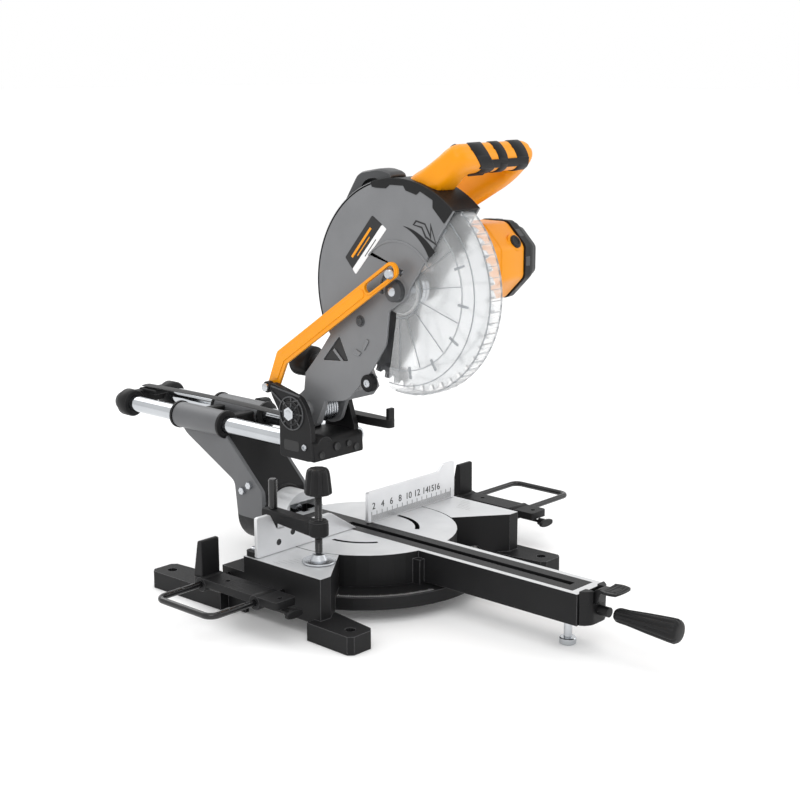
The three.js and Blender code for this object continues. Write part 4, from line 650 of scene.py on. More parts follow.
steps_r = [(72, 130), (75, 127), (82, 124), (85, 128), (95, 128), (97, 123), (105, 122), (107, 128),
           (117, 127), (119, 119), (131, 115)]
band = np.concatenate([arc(HUB, RIM_R + 0.2, 72, 131, 36), [polar(HUB, r, a) for a, r in steps_r[::-1]]])
prism("guard_band", band, WALL_X - 1.1, WALL_X + 0.2, "X", "black_nylon", "head", bevel=0.4)
crescent = [polar(HUB, 80 - 12 * (a - 98) / 42, a) for a in np.linspace(140, 98, 20)]
vent = np.concatenate([arc(HUB, 80.5, 98, 140, 20), crescent])
prism("guard_vent", vent, WALL_X - 0.25, WALL_X + 0.2, "X", "black_nylon", "head")
tag = np.array([(40, 89), (16, 74), (68, 14), (86, 34)]) + HUB
high_mid, low_mid = tag[0] + (tag[1] - tag[0]) * 0.68, tag[3] + (tag[2] - tag[3]) * 0.68
prism("guard_label_dark", rounded([tag[0], high_mid, low_mid, tag[3]], 2), WALL_X - 0.55, WALL_X + 0.2, "X",
      "black_print_and_painted_shade", "head", bevel=0.15)
prism("guard_label_light", rounded([high_mid, tag[1], tag[2], low_mid], 2), WALL_X - 0.55, WALL_X + 0.2, "X",
      "white_print", "head", bevel=0.15)
long_way, short_way = tag[3] - tag[0], (tag[1] - tag[0])
stripes = [(0.30, 0.2, 0.9, 0.06), (0.50, 0.35, 0.8, 0.025), (0.84, 0.3, 0.7, 0.02)]
for i, (across, start, end, wide) in enumerate(stripes):
    mid = tag[0] + short_way * across
    stripe = [mid + long_way * start - short_way * wide, mid + long_way * end - short_way * wide,
              mid + long_way * end + short_way * wide, mid + long_way * start + short_way * wide]
    prism(f"guard_label_stripe_{i}", stripe, WALL_X - 0.75, WALL_X - 0.5, "X",
          "black_print_and_painted_shade" if i == 2 else "yellow_enamel", "head")
arrow = np.array([(-26, 82), (-31, 88), (-46, 85), (-54, 72), (-54, 86), (-64, 60), (-46, 68),
                  (-40, 79)]) + HUB
hollow = np.array([(-28.5, 82.5), (-32, 86), (-45, 83.4), (-55, 66.5), (-55, 80), (-62, 63), (-47.5, 70),
                   (-41, 80.8)]) + HUB
prism("guard_arrow", arrow, WALL_X - 0.4, WALL_X + 0.2, "X", "black_print_and_painted_shade", "head", [hollow])
rib = np.concatenate([arc(HUB, 62, 150, 40, 40), arc(HUB, 59.5, 40, 150, 40)])
prism("guard_rib", rib, WALL_X - 1.0, WALL_X + 0.2, "X", "guard_grey_paint", "head", bevel=0.5)
turned("guard_wall_bolt", [(WALL_X + 0.3, 7.4), (WALL_X - 0.8, 7.2), (WALL_X - 0.8, 5.4), (WALL_X - 3.4, 5.0),
                           (WALL_X - 4, 3.6), (WALL_X - 3.2, 3.2), (WALL_X - 3.2, 0.5)], (-22, 354), "X",
       "dark_grey_nylon", "head", 48)
emboss = [[(-37, 330), (-33, 333), (-25, 320), (-29, 317)], [(-24, 314), (-20, 309), (-10, 312), (-14, 318)]]
for i, piece in enumerate(emboss):
    prism(f"guard_emboss_{i}", rounded(piece, 1.2, 3), WALL_X - 1.8, WALL_X + 0.2, "X", "guard_grey_paint",
          "head", bevel=0.6)
stop_at = (-36, 277)
neck_line = [(-41, 284), (-31, 270), (-10, 278), (-14, 292)]
prism("guard_stop_lug", rounded(neck_line, 4, 4), WALL_X + 3, WALL_X + 13, "X", "guard_grey_paint", "head",
      bevel=1.0)
tyre = [(WALL_X + 6, 3), (WALL_X + 6, 9), (WALL_X + 4.5, 11), (WALL_X - 3, 11), (WALL_X - 4.6, 9.5),
        (WALL_X - 4.6, 6.4), (WALL_X - 3.8, 5.8), (WALL_X - 3.8, 3)]
turned("guard_stop_tyre", tyre, stop_at, "X", "moulded_rubber", "head", 64)
turned("guard_stop_screw", [(WALL_X - 3.5, 5.2), (WALL_X - 4.6, 5), (WALL_X - 5.4, 3.6), (WALL_X - 5.4, 2),
                            (WALL_X - 4.4, 1.6), (WALL_X - 4.4, 0.4)], stop_at, "X", "bright_steel", "head",
       40)
# Painted shade: a black sheet just behind the triangular window stands for the shade inside it.
prism("guard_window_painted_shade", rounded([(47, 294), (-3, 298), (15, 334)], 3, 5), WALL_X + 1.6, WALL_X + 2.8, "X",
      "black_print_and_painted_shade", "head")
strut = [(24.5, 313.5), (7, 297.5), (10, 296.5), (27, 311)]
prism("guard_window_strut", strut, WALL_X + 0.3, WALL_X + 1.8, "X", "guard_grey_paint", "head")
print("upper guard radius", RIM_R)

# %% [markdown]
# The clear lower guard is a thin dish. Its profile runs from a ring round the hub, out over a flat, round
# a shoulder and across the edge, which is corrugated; the profile is turned through the guard's angle and
# given a wall. Spokes, rings and edges that catch the light are fine greyer bars on the same piece; the
# grey of these bars is a painted highlight.

# %% Lower guard
LOWER = span("lower_guard")
LOW_X0, LOW_X1 = LOWER[0][0] + 1.1, LOWER[1][0] - 1.1
profile = np.array([(LOW_X0 - 0.8, 28), (LOW_X0 - 0.8, 33), (LOW_X0, 35), (LOW_X0, 97),
                    (LOW_X0 - 1.3, 99.5), (LOW_X0 - 1.3, 103.5), (LOW_X0, 106), (LOW_X0, 117),
                    (LOW_X0 + 2, 122), (LOW_X0 + 7, 127.4), (LOW_X0 + 12, 129.8), (LOW_X0 + 15, 130.3),
                    (LOW_X1 - 3, 130.3), (LOW_X1, 129.5), (LOW_X1, 126), (LOW_X1, 106)])
sweep = np.linspace(112, 279, 241)
waves = 1.3 * np.tanh(4 * np.sin(np.radians(sweep) * 60))[:, None]
on_edge = ((profile[:, 1] > 129.9) & (profile[:, 0] > LOW_X0 + 13))[None, :]
ribs = sum(np.exp(-((sweep - at) / 0.7) ** 2) for at in (195, 225, 255, 271))[:, None]
on_flat = ((profile[:, 1] > 34) & (profile[:, 1] < 118))[None, :]
shell = np.empty((len(sweep), len(profile), 3))
radius = profile[None, :, 1] + waves * on_edge
shell[..., 0] = profile[None, :, 0] - 0.9 * ribs * on_flat
shell[..., 1] = HUB[0] + radius * np.cos(np.radians(sweep))[:, None]
shell[..., 2] = HUB[1] + radius * np.sin(np.radians(sweep))[:, None]
build("lower_guard_shell", shell.reshape(-1, 3), grid_faces(*shell.shape[:2], False, False),
      "clear_polycarbonate", "lower_guard", replaces=["lower_guard"], wall=1.8)
turned("lower_guard_ring", [(LOW_X0 - 1, 16.8), (LOW_X0 - 1, 29), (LOW_X0 + 1, 30), (LOW_X0 + 1, 16.8)],
       HUB, "X", "clear_polycarbonate", "lower_guard", 96, True)
# Painted highlight: the spokes, rings, rims and edge ticks are grey half-clear bars that paint the light
# caught by the clear ribs and edges.
rib_highlight_bars = []
for a in (120, 146, 172, 198, 224, 250, 270):
    flat = [polar(HUB, 34, a - 0.5), polar(HUB, 97, a - 0.25), polar(HUB, 97, a + 0.25),
            polar(HUB, 34, a + 0.5)]
    rib_highlight_bars.append(bar_on(flat, LOW_X0 - 1.5, LOW_X0 - 0.2))
for a in (133, 159, 185, 211, 237, 260):
    flat = [polar(HUB, 94, a - 0.9), polar(HUB, 109, a - 0.5), polar(HUB, 109, a + 0.8),
            polar(HUB, 94, a + 0.9)]
    rib_highlight_bars.append(bar_on(flat, LOW_X0 - 2.4, LOW_X0 - 0.6))
for a in np.arange(115, 277, 6):
    flat = [polar(HUB, 128.9, a - 0.2), polar(HUB, 130.9, a - 0.2), polar(HUB, 130.9, a + 0.2),
            polar(HUB, 128.9, a + 0.2)]
    rib_highlight_bars.append(bar_on(flat, LOW_X0 + 13, LOW_X1 - 2))
for label, x in (("front", LOW_X0 + 12.4), ("back", LOW_X1 - 1.8)):
    line = np.concatenate([arc(HUB, 131.2, 112.5, 278.5, 160), arc(HUB, 129.4, 278.5, 112.5, 160)])
    prism(f"lower_guard_rim_{label}", line, x, x + 1.1, "X", "clear_painted_highlight", "lower_guard")
bars("lower_guard_ribs", rib_highlight_bars, "clear_painted_highlight", "lower_guard")
for label, r0, r1 in (("inner", 98.2, 99.6), ("outer", 117.2, 118.2), ("hub", 33, 34.4)):
    line = np.concatenate([arc(HUB, r1, 112.5, 278.5, 80), arc(HUB, r0, 278.5, 112.5, 80)])
    prism(f"lower_guard_line_{label}", line, LOW_X0 - 1.7, LOW_X0 - 0.4, "X", "clear_painted_highlight", "lower_guard")
print("lower guard", shell.shape)

# %% [markdown]
# The blade is a disc with carbide-tipped teeth: each tooth has a straight face, a sloping back and a
# rounded gullet. Its radius is a saw-tooth wave of the angle, so the whole rim comes from one formula.

# %% Blade
TEETH = 48
BLADE = span("saw_blade")
BLADE_R = (BLADE[1][2] - BLADE[0][2]) / 2
phase = np.linspace(0, TEETH, TEETH * 12, endpoint=False)
inside = phase % 1
gullet = 2.5 + 5.5 * np.abs(np.sin(np.pi * (inside - 0.55) / 0.45)) ** 0.7
slope = 2.5 * (inside - 0.12) / 0.43
edge = BLADE_R - np.where(inside < 0.12, 0, np.where(inside < 0.55, slope, gullet))
turn = -phase / TEETH * 2 * math.pi
rim = np.stack([HUB[0] + edge * np.cos(turn), HUB[1] + edge * np.sin(turn)], -1)
BLADE_X = (BLADE[0][0] + BLADE[1][0]) / 2
prism("blade_disc", rim, BLADE_X - 0.9, BLADE_X + 0.9, "X", "polished_blade", "blade", [ring(HUB, 8.2, 40)],
      replaces=["saw_blade"])
tips = []
for a in np.arange(TEETH) * -360 / TEETH:
    flat = [polar(HUB, BLADE_R, a), polar(HUB, BLADE_R - 7, a + 0.4), polar(HUB, BLADE_R - 7, a - 1.0),
            polar(HUB, BLADE_R - 0.2, a - 1.0)]
    tips.append(bar_on(flat, BLADE_X - 1.2, BLADE_X + 1.2))
bars("blade_tips", tips, "bare_cast_aluminium", "blade")
print("blade radius", round(BLADE_R, 1), "teeth", TEETH)

# %% [markdown]
# The link is a bent flat bar in yellow enamel with a slot at its upper end. The slot's rim and
# a lower panel are pressed, so they stand a little proud.

# %% Link, pins and hub cap
LINK = span("guard_link")
BEND = np.array([104.0, 294.0])
along = (BEND - PIN) / np.linalg.norm(BEND - PIN)
square = np.array([-along[1], along[0]])
TIP = PIN - along * 2.5 + square * 2.85


def lobe(start, end, half, steps=12):
    """Outline of a bar with round ends between two points."""
    way = math.degrees(math.atan2(end[1] - start[1], end[0] - start[0]))
    return np.concatenate([arc(start, half, way + 90, way + 270, steps),
                           arc(end, half, way - 90, way + 90, steps)])


slot_end = TIP + along * 44
elbow = np.array(polar((0, 0), 1 / math.cos(math.radians(16.45)), 220.05))
bar_line = np.concatenate([arc(TIP, 10.5, 56.5, 236.5, 18), [BEND + 10.5 * elbow],
                           arc(EAR, 9.5, 203.6, 383.6, 18), arc(BEND, 10.5, 23.6, 56.5, 8)])
prism("link_bar", bar_line, LINK[0][0] + 0.2, LINK[1][0], "X", "yellow_enamel", "guard_link",
      [lobe(TIP, slot_end, 6.2), ring(EAR, 3.3, 24)], bevel=0.5, replaces=["guard_link"])
rim_line, rim_hole = lobe(TIP, slot_end, 8.6), lobe(TIP, slot_end, 6.2)
prism("link_slot_rim", rim_line, LINK[0][0] - 0.9, LINK[0][0] + 0.6, "X", "yellow_enamel", "guard_link",
      [rim_hole], bevel=0.45)
panel_a, panel_b = slot_end + along * 16, EAR + (BEND - EAR) * 0.38
pressed = np.concatenate([arc(panel_a, 6, 56.5, 236.5, 14), [BEND + 6 * elbow],
                          arc(panel_b, 5, 203.6, 383.6, 14), arc(BEND, 6, 23.6, 56.5, 6)])
prism("link_panel", pressed, LINK[0][0] - 0.9, LINK[0][0] + 0.6, "X", "yellow_enamel", "guard_link",
      bevel=0.7)
pin = span("guard_pin")
turned("guard_pin_head", [(pin[0][0], 1), (pin[0][0], 5), (pin[0][0] + 0.8, 5.4), (pin[0][0] + 3.4, 6.9),
                          (LINK[0][0] - 1.2, 6.9), (LINK[0][0] - 1.2, 2.5), (pin[1][0], 2.5),
                          (pin[1][0], 1)], PIN, "X", "bright_steel", "lower_guard", 48,
       replaces=["guard_pin"])
ear = span("link_pivot_pin")
turned("link_pivot_head", [(ear[0][0] - 1, 1), (ear[0][0] - 1, 3.5), (ear[0][0], 5.2), (ear[0][0] + 3, 5.5),
                           (ear[0][0] + 3, 3), (ear[1][0], 3), (ear[1][0], 1)], EAR, "X", "bright_steel",
       "carriage", 40)
cap = span("arbor_cap")
turned("arbor_cap_cover", [(cap[0][0] - 0.6, 3), (cap[0][0], 11), (cap[0][0] + 1.6, 13.2),
                           (cap[0][0] + 8.5, 14), (cap[0][0] + 8.5, 9.4), (cap[1][0], 9.4), (cap[1][0], 3)],
       HUB, "X", "dark_grey_nylon", "head", 64, replaces=["arbor_cap"])
turned("arbor_cap_centre", [(cap[0][0] - 1.6, 0.5), (cap[0][0] - 1.6, 4.6), (cap[0][0] - 0.8, 5.8),
                            (cap[0][0] + 1, 6), (cap[0][0] + 1, 0.5)], HUB, "X", "bright_steel", "head", 48)
print("link from", TIP.round(1), "to", EAR.round(1))

# %% [markdown]
# The D-handle is a closed loop of moulded plastic. Two outlines with the same number of points, the
# outer edge and the finger opening, carry a rounded section between them: a superellipse, nearly
# square on the arms and rounder on the grip. Soft black rubber is moulded over the grip in three claws.

# %% Handle
TILT = math.radians(43)
HANDLE = np.array([0, MOTOR[0] + 44, MOTOR[1] + 45])
VEE = np.array([0, -math.cos(TILT), math.sin(TILT)])
WEE = np.array([0, -math.sin(TILT), -math.cos(TILT)])


def on_handle(u, v, w):
    """Handle coordinates: u across the saw, v up the slope, w out of the loop's plane."""
    u, v, w = np.broadcast_arrays(u, v, w)
    return HANDLE + u[..., None] * np.array([1.0, 0, 0]) + v[..., None] * VEE + w[..., None] * WEE


def power(value, exponent):
    return np.sign(value) * np.abs(value) ** exponent


outer = rounded([(12, 22), (66, 20), (120, 92), (125, 146), (-24, 146), (-27, 66)], 16, 8, 6)
inner = rounded([(40, 58), (60, 56), (94, 98), (94, 112), (16, 112), (14, 96)], 9, 8, 6)
middle, half = (outer + inner) / 2, (outer - inner) / 2
s = np.linspace(0, 2 * math.pi, 48, endpoint=False)
grip = np.clip((middle[:, 1] - 108) / 14, 0, 1)
shape = (0.55 + 0.33 * grip)[:, None]
thick = (16.5 + 0.5 * grip)[:, None]
flare = 12 * np.clip((112 - middle[:, 1:2]) / 60, 0, 1) ** 1.3
groove = 1 - 0.035 * np.exp(-(np.sin(s) / 0.06) ** 2) * (np.cos(s) > 0)
reach = power(np.cos(s), shape) * groove
u = middle[:, None, 0] + half[:, None, 0] * reach
v = middle[:, None, 1] + half[:, None, 1] * reach
w = (thick + flare) * power(np.sin(s), shape) - flare
loop = on_handle(u, v, w)
away = loop[..., 1:] - HUB
lift_out = np.maximum((RIM_R - 0.8) / np.linalg.norm(away, axis=-1, keepdims=True), 1)
loop[..., 1:] = np.where(loop[..., :1] < RIM_X + 8, HUB + away * lift_out, loop[..., 1:])
loft("handle_loop", loop, "yellow_abs", "head", closed=True, replaces=["handle"])
GRIP_V, GRIP_R, GRIP_POWER = 129, 17, 0.88
claws = [((4, 30), (23, 48), (18, 41)), ((46, 64), (56, 72), (54, 70)), ((81, 104), (92, 113), (93, 114))]
for i, (high, mid, low_edge) in enumerate(claws):
    share = (1 - np.cos(s)) / 2
    edges = [np.interp(share, [0, 0.5, 1], [high[k], mid[k], low_edge[k]]) for k in (0, 1)]
    lift = np.array([0.2, 1.1, 1.1, 0.2])[:, None]
    u = np.stack([edges[0], edges[0] + 1.2, edges[1] - 1.2, edges[1]])
    v = GRIP_V + (GRIP_R + lift) * power(np.cos(s), GRIP_POWER)
    w = (GRIP_R + lift) * power(np.sin(s), GRIP_POWER)
    deep_v, deep_w = GRIP_V + (GRIP_R - 1.5) * power(np.cos(s),
                                                     GRIP_POWER), (GRIP_R - 1.5) * power(np.sin(s),
                                                                                         GRIP_POWER)
    u = np.concatenate([u, u[-1:], u[:1]])
    v, w = np.concatenate([v, deep_v[None], deep_v[None]]), np.concatenate([w, deep_w[None], deep_w[None]])
    loft(f"grip_claw_{i}", on_handle(u, v, w), "grip_rubber", "head", closed=True)
t = np.linspace(0, 1, 60)[:, None]
q = np.radians(np.linspace(48, 86, 14))[None, :]
shell = []
for lift in (1.0, -0.8):
    shell.append(on_handle(18 + 89 * t, GRIP_V + (GRIP_R + lift) * power(np.cos(q), GRIP_POWER) + 0 * t,
                           (GRIP_R + lift) * power(np.sin(q), GRIP_POWER) + 0 * t))
strip = np.concatenate([shell[0], shell[1][:, ::-1]], 1)
loft("grip_joining_band", strip, "grip_rubber", "head")
root = rounded([(26, -26), (64, -26), (66, 30), (24, 40)], 6, 5)
rows = [on_handle(root[:, 0], root[:, 1], np.full(len(root), w)) for w in (-14, -13, 14, 15)]
rows[0] = rows[0] * 0.94 + rows[0].mean(0) * 0.06
rows[3] = rows[3] * 0.94 + rows[3].mean(0) * 0.06
loft("handle_root", np.array(rows), "yellow_abs", "head")
pull = rounded([(30.5, 101), (61.5, 101), (61.5, 122), (30.5, 122)], 4, 5)
sag = 3.0 * np.sin(np.pi * (pull[:, 0] - 30.5) / 31) * (pull[:, 1] < 108)
rows = [on_handle(pull[:, 0] * k + 46 * (1 - k), pull[:, 1] + sag, np.full(len(pull), w))
        for w, k in ((-6, 0.94), (-5, 1), (5, 1), (6, 0.94))]
loft("trigger_blade", np.array(rows), "black_nylon", "trigger", replaces=["trigger"])
turn = np.linspace(0, 2 * math.pi, 40, endpoint=False)
rows = [on_handle(2 + r * np.cos(turn), 128 + r * np.sin(turn), np.full(40, w))
        for w, r in ((-12, 5), (-18.6, 5), (-19.6, 4.2), (-19.9, 2))]
loft("lock_button_cap", np.array(rows), "black_nylon", "lock_off_button")
print("handle loop", u.shape)

# %% [markdown]
# The motor case is a moulded drum with eight flats; behind it sits a black vented cap. The outline
# is a polygon with rounded corners, lofted through rings that step in and out.

# %% Motor and gear case
def drum(name, rings, skin, body, flats=8, roundness=5, spin=22.5, **more):
    """Rounded polygons about the motor axis, one for each (x, radius) pair."""
    corners = arc((0, 0), 1 / math.cos(math.pi / flats), spin, spin + 360 * (1 - 1 / flats), flats)
    unit = rounded(corners * 49, roundness, 7, 2) / 49
    points = np.empty((len(rings), len(unit), 3))
    for i, (x, r) in enumerate(rings):
        points[i, :, 0] = x
        points[i, :, 1:] = MOTOR + unit * r
    return loft(name, points, skin, body, **more)


CASE, CAP = span("motor_housing"), span("motor_end_cap")
X0, X1, X2 = CASE[0][0] + 1, CAP[0][0] - 12, CAP[1][0]
drum("motor_case", [(X0, 45), (X0, 47.5), (X0 + 2, 49), (X0 + 30, 49), (X0 + 31, 48), (X0 + 34, 48),
                    (X0 + 35, 49), (X1 - 4, 48.5), (X1 - 2, 47.5), (X1 - 0.4, 47)], "yellow_abs", "head",
     angle=30, replaces=["motor_housing"])
drum("motor_cap_shell", [(X1, 46.8), (X1 + 1, 49.4), (X1 + 12, 48.8), (X1 + 13, 46), (X1 + 20, 45.5),
                         (X1 + 27, 41), (X2 - 1.5, 38), (X2, 34), (X2, 31), (X2 - 2, 30)], "black_nylon",
     "head", angle=30, replaces=["motor_end_cap"])
for i in range(12):
    a = 15 + i * 30
    vent = [polar(MOTOR, 17, a - 9), polar(MOTOR, 17, a + 9), polar(MOTOR, 28, a + 9),
            polar(MOTOR, 28, a - 9)]
    prism(f"motor_cap_rib_{i:02d}", rounded(vent, 2), X2 - 2.2, X2 - 0.4, "X", "dark_grey_nylon", "head",
          bevel=0.5)
for i in range(8):
    a = i * 45
    tab = [polar(MOTOR, 44, a - 8), polar(MOTOR, 50, a - 7), polar(MOTOR, 50, a + 7), polar(MOTOR, 44, a + 8)]
    prism(f"motor_tab_{i}", rounded(tab, 1.5), X1 + 1.5, X1 + 10, "X", "dark_grey_nylon", "head", bevel=0.8)
BRUSH = (("seat", "yellow_abs", ((44, 12.5), (50.2, 12), (51, 11), (51, 8))),
         ("cap", "black_nylon", ((46, 8.6), (52.4, 8.6), (53, 7.8), (53, 5.4), (52, 5))))
for i, a in enumerate((150, 330)):
    outward = np.array([0, math.cos(math.radians(a)), math.sin(math.radians(a))])
    side = np.array([0, -outward[2], outward[1]])
    base_point = np.array([CASE[0][0] + 68, *MOTOR])
    turn = np.linspace(0, 2 * math.pi, 40, endpoint=False)[:, None]
    circle = np.cos(turn) * side + np.sin(turn) * np.array([1.0, 0, 0])
    for label, skin, rows in BRUSH:
        rings = np.array([base_point + outward * d + circle * r for d, r in rows])
        loft(f"brush_{label}_{i}", rings, skin, "head")
GEAR = span("gear_case")
hull = np.concatenate([arc(HUB, 33, 160, 290, 30), arc(MOTOR, 49, -20, 160, 60)])
rows = []
for x, k in ((GEAR[0][0], 0.94), (GEAR[0][0] + 1.5, 1.0), (GEAR[1][0] - 3, 1.0), (GEAR[1][0], 0.96)):
    flat = hull.mean(0) + (hull - hull.mean(0)) * k
    rows.append(raised(flat, x, "X"))
loft("gear_case_shell", np.array(rows), "grey_painted_casting", "head", replaces=["gear_case"])
for i, a in enumerate((20, 70, 120)):
    screw(f"gear_case_screw_{i}", polar(MOTOR, 43, a), GEAR[0][0], "X", "head", 3.0, -1.2)
print("motor case from x", X0, "to", X2)

# %% [markdown]
# The carrying handle is a dark bow over the guard's rim, rounded for the hand. Its outline follows the CAD
# piece with soft corners, and six lofted rings round its edges.

# %% Carry handle
grip_line = [polar(HUB, RIM_R + 0.3, 46), (-3, 520), (-14, 538), (-48, 544), (-66, 540),
             polar(HUB, RIM_R + 0.3, 84), polar(HUB, RIM_R + 0.3, 76), (-42, 534), (-26, 531), (-16, 518),
             polar(HUB, RIM_R + 0.3, 56), polar(HUB, RIM_R + 0.3, 51)]
bow = rounded(grip_line, 8, 6)
CARRY = span("carry_handle")
rows = []
for x, k in ((CARRY[0][0], 0.95), (CARRY[0][0] + 3, 0.99), (CARRY[0][0] + 7, 1), (CARRY[1][0] - 7, 1),
             (CARRY[1][0] - 3, 0.99), (CARRY[1][0], 0.95)):
    shift = (1 - k) * 40
    near = np.clip((bow[:, 1:2] - 505) / 35, 0, 1)
    rows.append(raised(bow - np.array([0, 1]) * shift * near, x, "X"))
loft("carry_bow", np.array(rows), "dark_grey_nylon", "head", angle=50, replaces=["carry_handle"])
print("carry handle", CARRY[0].round(0), CARRY[1].round(0))

# %% [markdown]
# The bracket at the rails' front is a heavy black casting: a box that clamps the rails, a tall left
# cheek with an ear for the link and a low right cheek, and a round spoked boss over the hinge bolt.
# The boss's spokes, the ribs on the cheek and the rim ring are lighter grey as a painted highlight of their
# edges.

# %% Head bracket
BR = span("head_bracket")
LEFT = BR[0][0]
cheek = rounded([(98, 166), (40, 166), (40, 210), (49, 236), (60, 249), (114, 262), (114, 247),
                                 (98, 224)], 6, 5)
prism("bracket_cheek_left", cheek, LEFT, LEFT + 8, "X", "powder_coated_aluminium", "carriage",
      [ring(PIVOT, 7.3, 32)], bevel=1.2, replaces=["head_bracket"])
turned("bracket_ear", [(LEFT, 3.2), (LEFT, 7.6), (LEFT + 8, 7.6), (LEFT + 8, 3.2)], EAR, "X",
       "powder_coated_aluminium", "carriage", 48, True, bevel=0.6)
far = np.concatenate([[(98, 166), (44, 166), (44, 200)], arc(PIVOT, 21, 170, 0, 24), [(98, 200)]])
prism("bracket_cheek_right", far, 24, 32, "X", "powder_coated_aluminium", "carriage", [ring(PIVOT, 7.3, 32)],
      bevel=1.2)
front_box = rounded([(34, 166), (98, 166), (98, 194.4), (44, 194.4), (36, 190)], 4, 5)
prism("bracket_box", front_box, LEFT + 0.2, 31.8, "X", "powder_coated_aluminium", "carriage", bevel=2.0)
# Painted shade: black rings on the box front stand for the shade inside its holes.
for i, (x, z, r) in enumerate([(-46, 174, 4), (-18, 181, 4.6), (4, 181, 3.2), (18, 174, 4)]):
    turned(f"bracket_hole_painted_shade_{i}", [(33.9, 0.5), (33.9, r - 0.8), (33.5, r), (33.5, r + 0.8), (35, r + 1.2)],
           (x, z), "Y", "black_print_and_painted_shade", "carriage", 32)
for side, place in RAILS.items():
    at = place[[0, 2]]
    if side == "left":
        socket = [(36.5, 5), (36.5, 14), (38, 15), (96, 15), (98, 14.6), (98, 11.7)]
    else:
        socket = [(62, 5), (62, 15.5), (64, 17.3), (96, 17.3), (98, 16), (98, 11.7)]
    turned(f"bracket_socket_{side}", [(y, min(r, 17)) for y, r in socket], at, "Y", "powder_coated_aluminium",
           "carriage", 64)
slab("bracket_shelf", (-18, 90, 190.5), (10, 112, 201), "powder_coated_aluminium", "carriage", 2.0)
turned("bracket_boss", [(LEFT + 2, 7.5), (LEFT - 1.4, 7.5), (LEFT - 1.4, 9.2), (LEFT - 0.4, 10),
                        (LEFT - 0.4, 13), (LEFT - 1.6, 13.8), (LEFT - 1.6, 16), (LEFT, 17), (LEFT + 2, 17)],
       PIVOT, "X", "powder_coated_aluminium", "carriage", 80, True)
# Painted highlight: the spokes, the ribs on the cheek and the rim ring are lighter grey than the black
# casting, standing for the light their edges catch.
highlight_ribs = []
for a in range(0, 360, 45):
    flat = [polar(PIVOT, 9, a - 5), polar(PIVOT, 22, a - 2), polar(PIVOT, 22, a + 2), polar(PIVOT, 9, a + 5)]
    highlight_ribs.append(bar_on(flat, LEFT - 1.5, LEFT + 1))
for start, end in (((60, 250), (112, 257)), ((62, 245), (90, 236)), ((92, 238), (112, 250))):
    start, end = np.array(start, float), np.array(end, float)
    wide = np.array([-(end - start)[1], (end - start)[0]]) / np.linalg.norm(end - start) * 0.9
    highlight_ribs.append(bar_on([start - wide, end - wide, end + wide, start + wide], LEFT - 1.3, LEFT + 1))
bars("bracket_ribs_painted_highlight", highlight_ribs, "dark_grey_nylon", "carriage")
turned("bracket_rim_ring_painted_highlight", [(LEFT + 1, 20.8), (LEFT - 1.5, 20.8), (LEFT - 1.8, 21.4), (LEFT - 1.5, 22.4),
                            (LEFT + 1, 22.4)], PIVOT, "X", "dark_grey_nylon", "carriage", 80, True)
HP = span("head_hinge_pin")
turned("hinge_bolt_head", [(HP[0][0] - 0.4, 0.5), (HP[0][0] - 0.4, 3.2), (HP[0][0], 5.4), (HP[0][0] + 1, 6.6),
                           (LEFT - 0.2, 7), (LEFT + 3, 6.9), (LEFT + 3, 0.5)], PIVOT, "X", "hard_chrome",
       "carriage", 48)
# Painted shade: a black rounded patch on the left cheek stands for the shade inside a recess.
prism("bracket_recess_painted_shade", rounded([(62, 176), (90, 176), (90, 190), (62, 190)], 4), LEFT - 0.15, LEFT + 0.6,
      "X", "black_print_and_painted_shade", "carriage")
screw("bracket_side_screw_0", (52, 184), LEFT, "X", "carriage", 4.2, -2.4, "bright_steel")
print("bracket", BR[0].round(0), BR[1].round(0))

# %% [markdown]
# The depth stop is a small arm that swings in under the head.

# %% Depth stop and spring
STOP = span("depth_stop_arm")
stop_line = rounded([(35, 74), (35, 28), (38, -6), (51, -6), (53, 28), (53, 74)], 5, 5)
prism("stop_bar", stop_line, STOP[0][2], STOP[0][2] + 11, "Z", "powder_coated_aluminium", "depth_stop",
      [ring((44, 68), 4.6, 24)], bevel=1.0, replaces=["depth_stop_arm"])
slab("stop_horn", (39, -5, STOP[0][2] + 10), (50, 1, STOP[1][2]), "powder_coated_aluminium", "depth_stop",
     1.2)

coil = np.linspace(0, 1, 260)
wind = coil * 2 * math.pi * 6
SPRING = span("head_return_spring")
SX0, SX1 = SPRING[0][0] + 2, SPRING[1][0] - 2
path = np.stack([SX0 + (SX1 - SX0) * coil, PIVOT[0] + 17.4 * np.cos(wind), PIVOT[1] + 17.4 * np.sin(wind)],
                -1)
pipe("head_spring_coil", path, 1.7, "bright_steel", "head", sides=12, up=(1, 0, 0),
     replaces=["head_return_spring"])

# %% [markdown]
# Behind the hinge a short dust spout leaves the guard's arm. It is a turned tube with a wider mouth.

# %% Dust spout
DUST = span("dust_port")
at = centre("dust_port")[[0, 2]]
spout = [(DUST[0][1] + 2, 10.2), (DUST[0][1] + 2, 12.8), (86, 13), (88, 19), (89.5, 20.2), (113, 21),
         (DUST[1][1], 20.6), (DUST[1][1], 18.2), (112, 17.8), (92, 17), (90, 10.2)]
turned("dust_spout", spout, at, "Y", "black_nylon", "head", 80, True, replaces=["dust_port"])
print("dust spout to y", DUST[1][1].round(0))

# %% [markdown]
# The fence halves are machined bars with rounded ends. The right one carries a stamped scale: fine lines
# every 2 mm, longer ones every 10, and numbers set with the built-in font and turned into meshes.

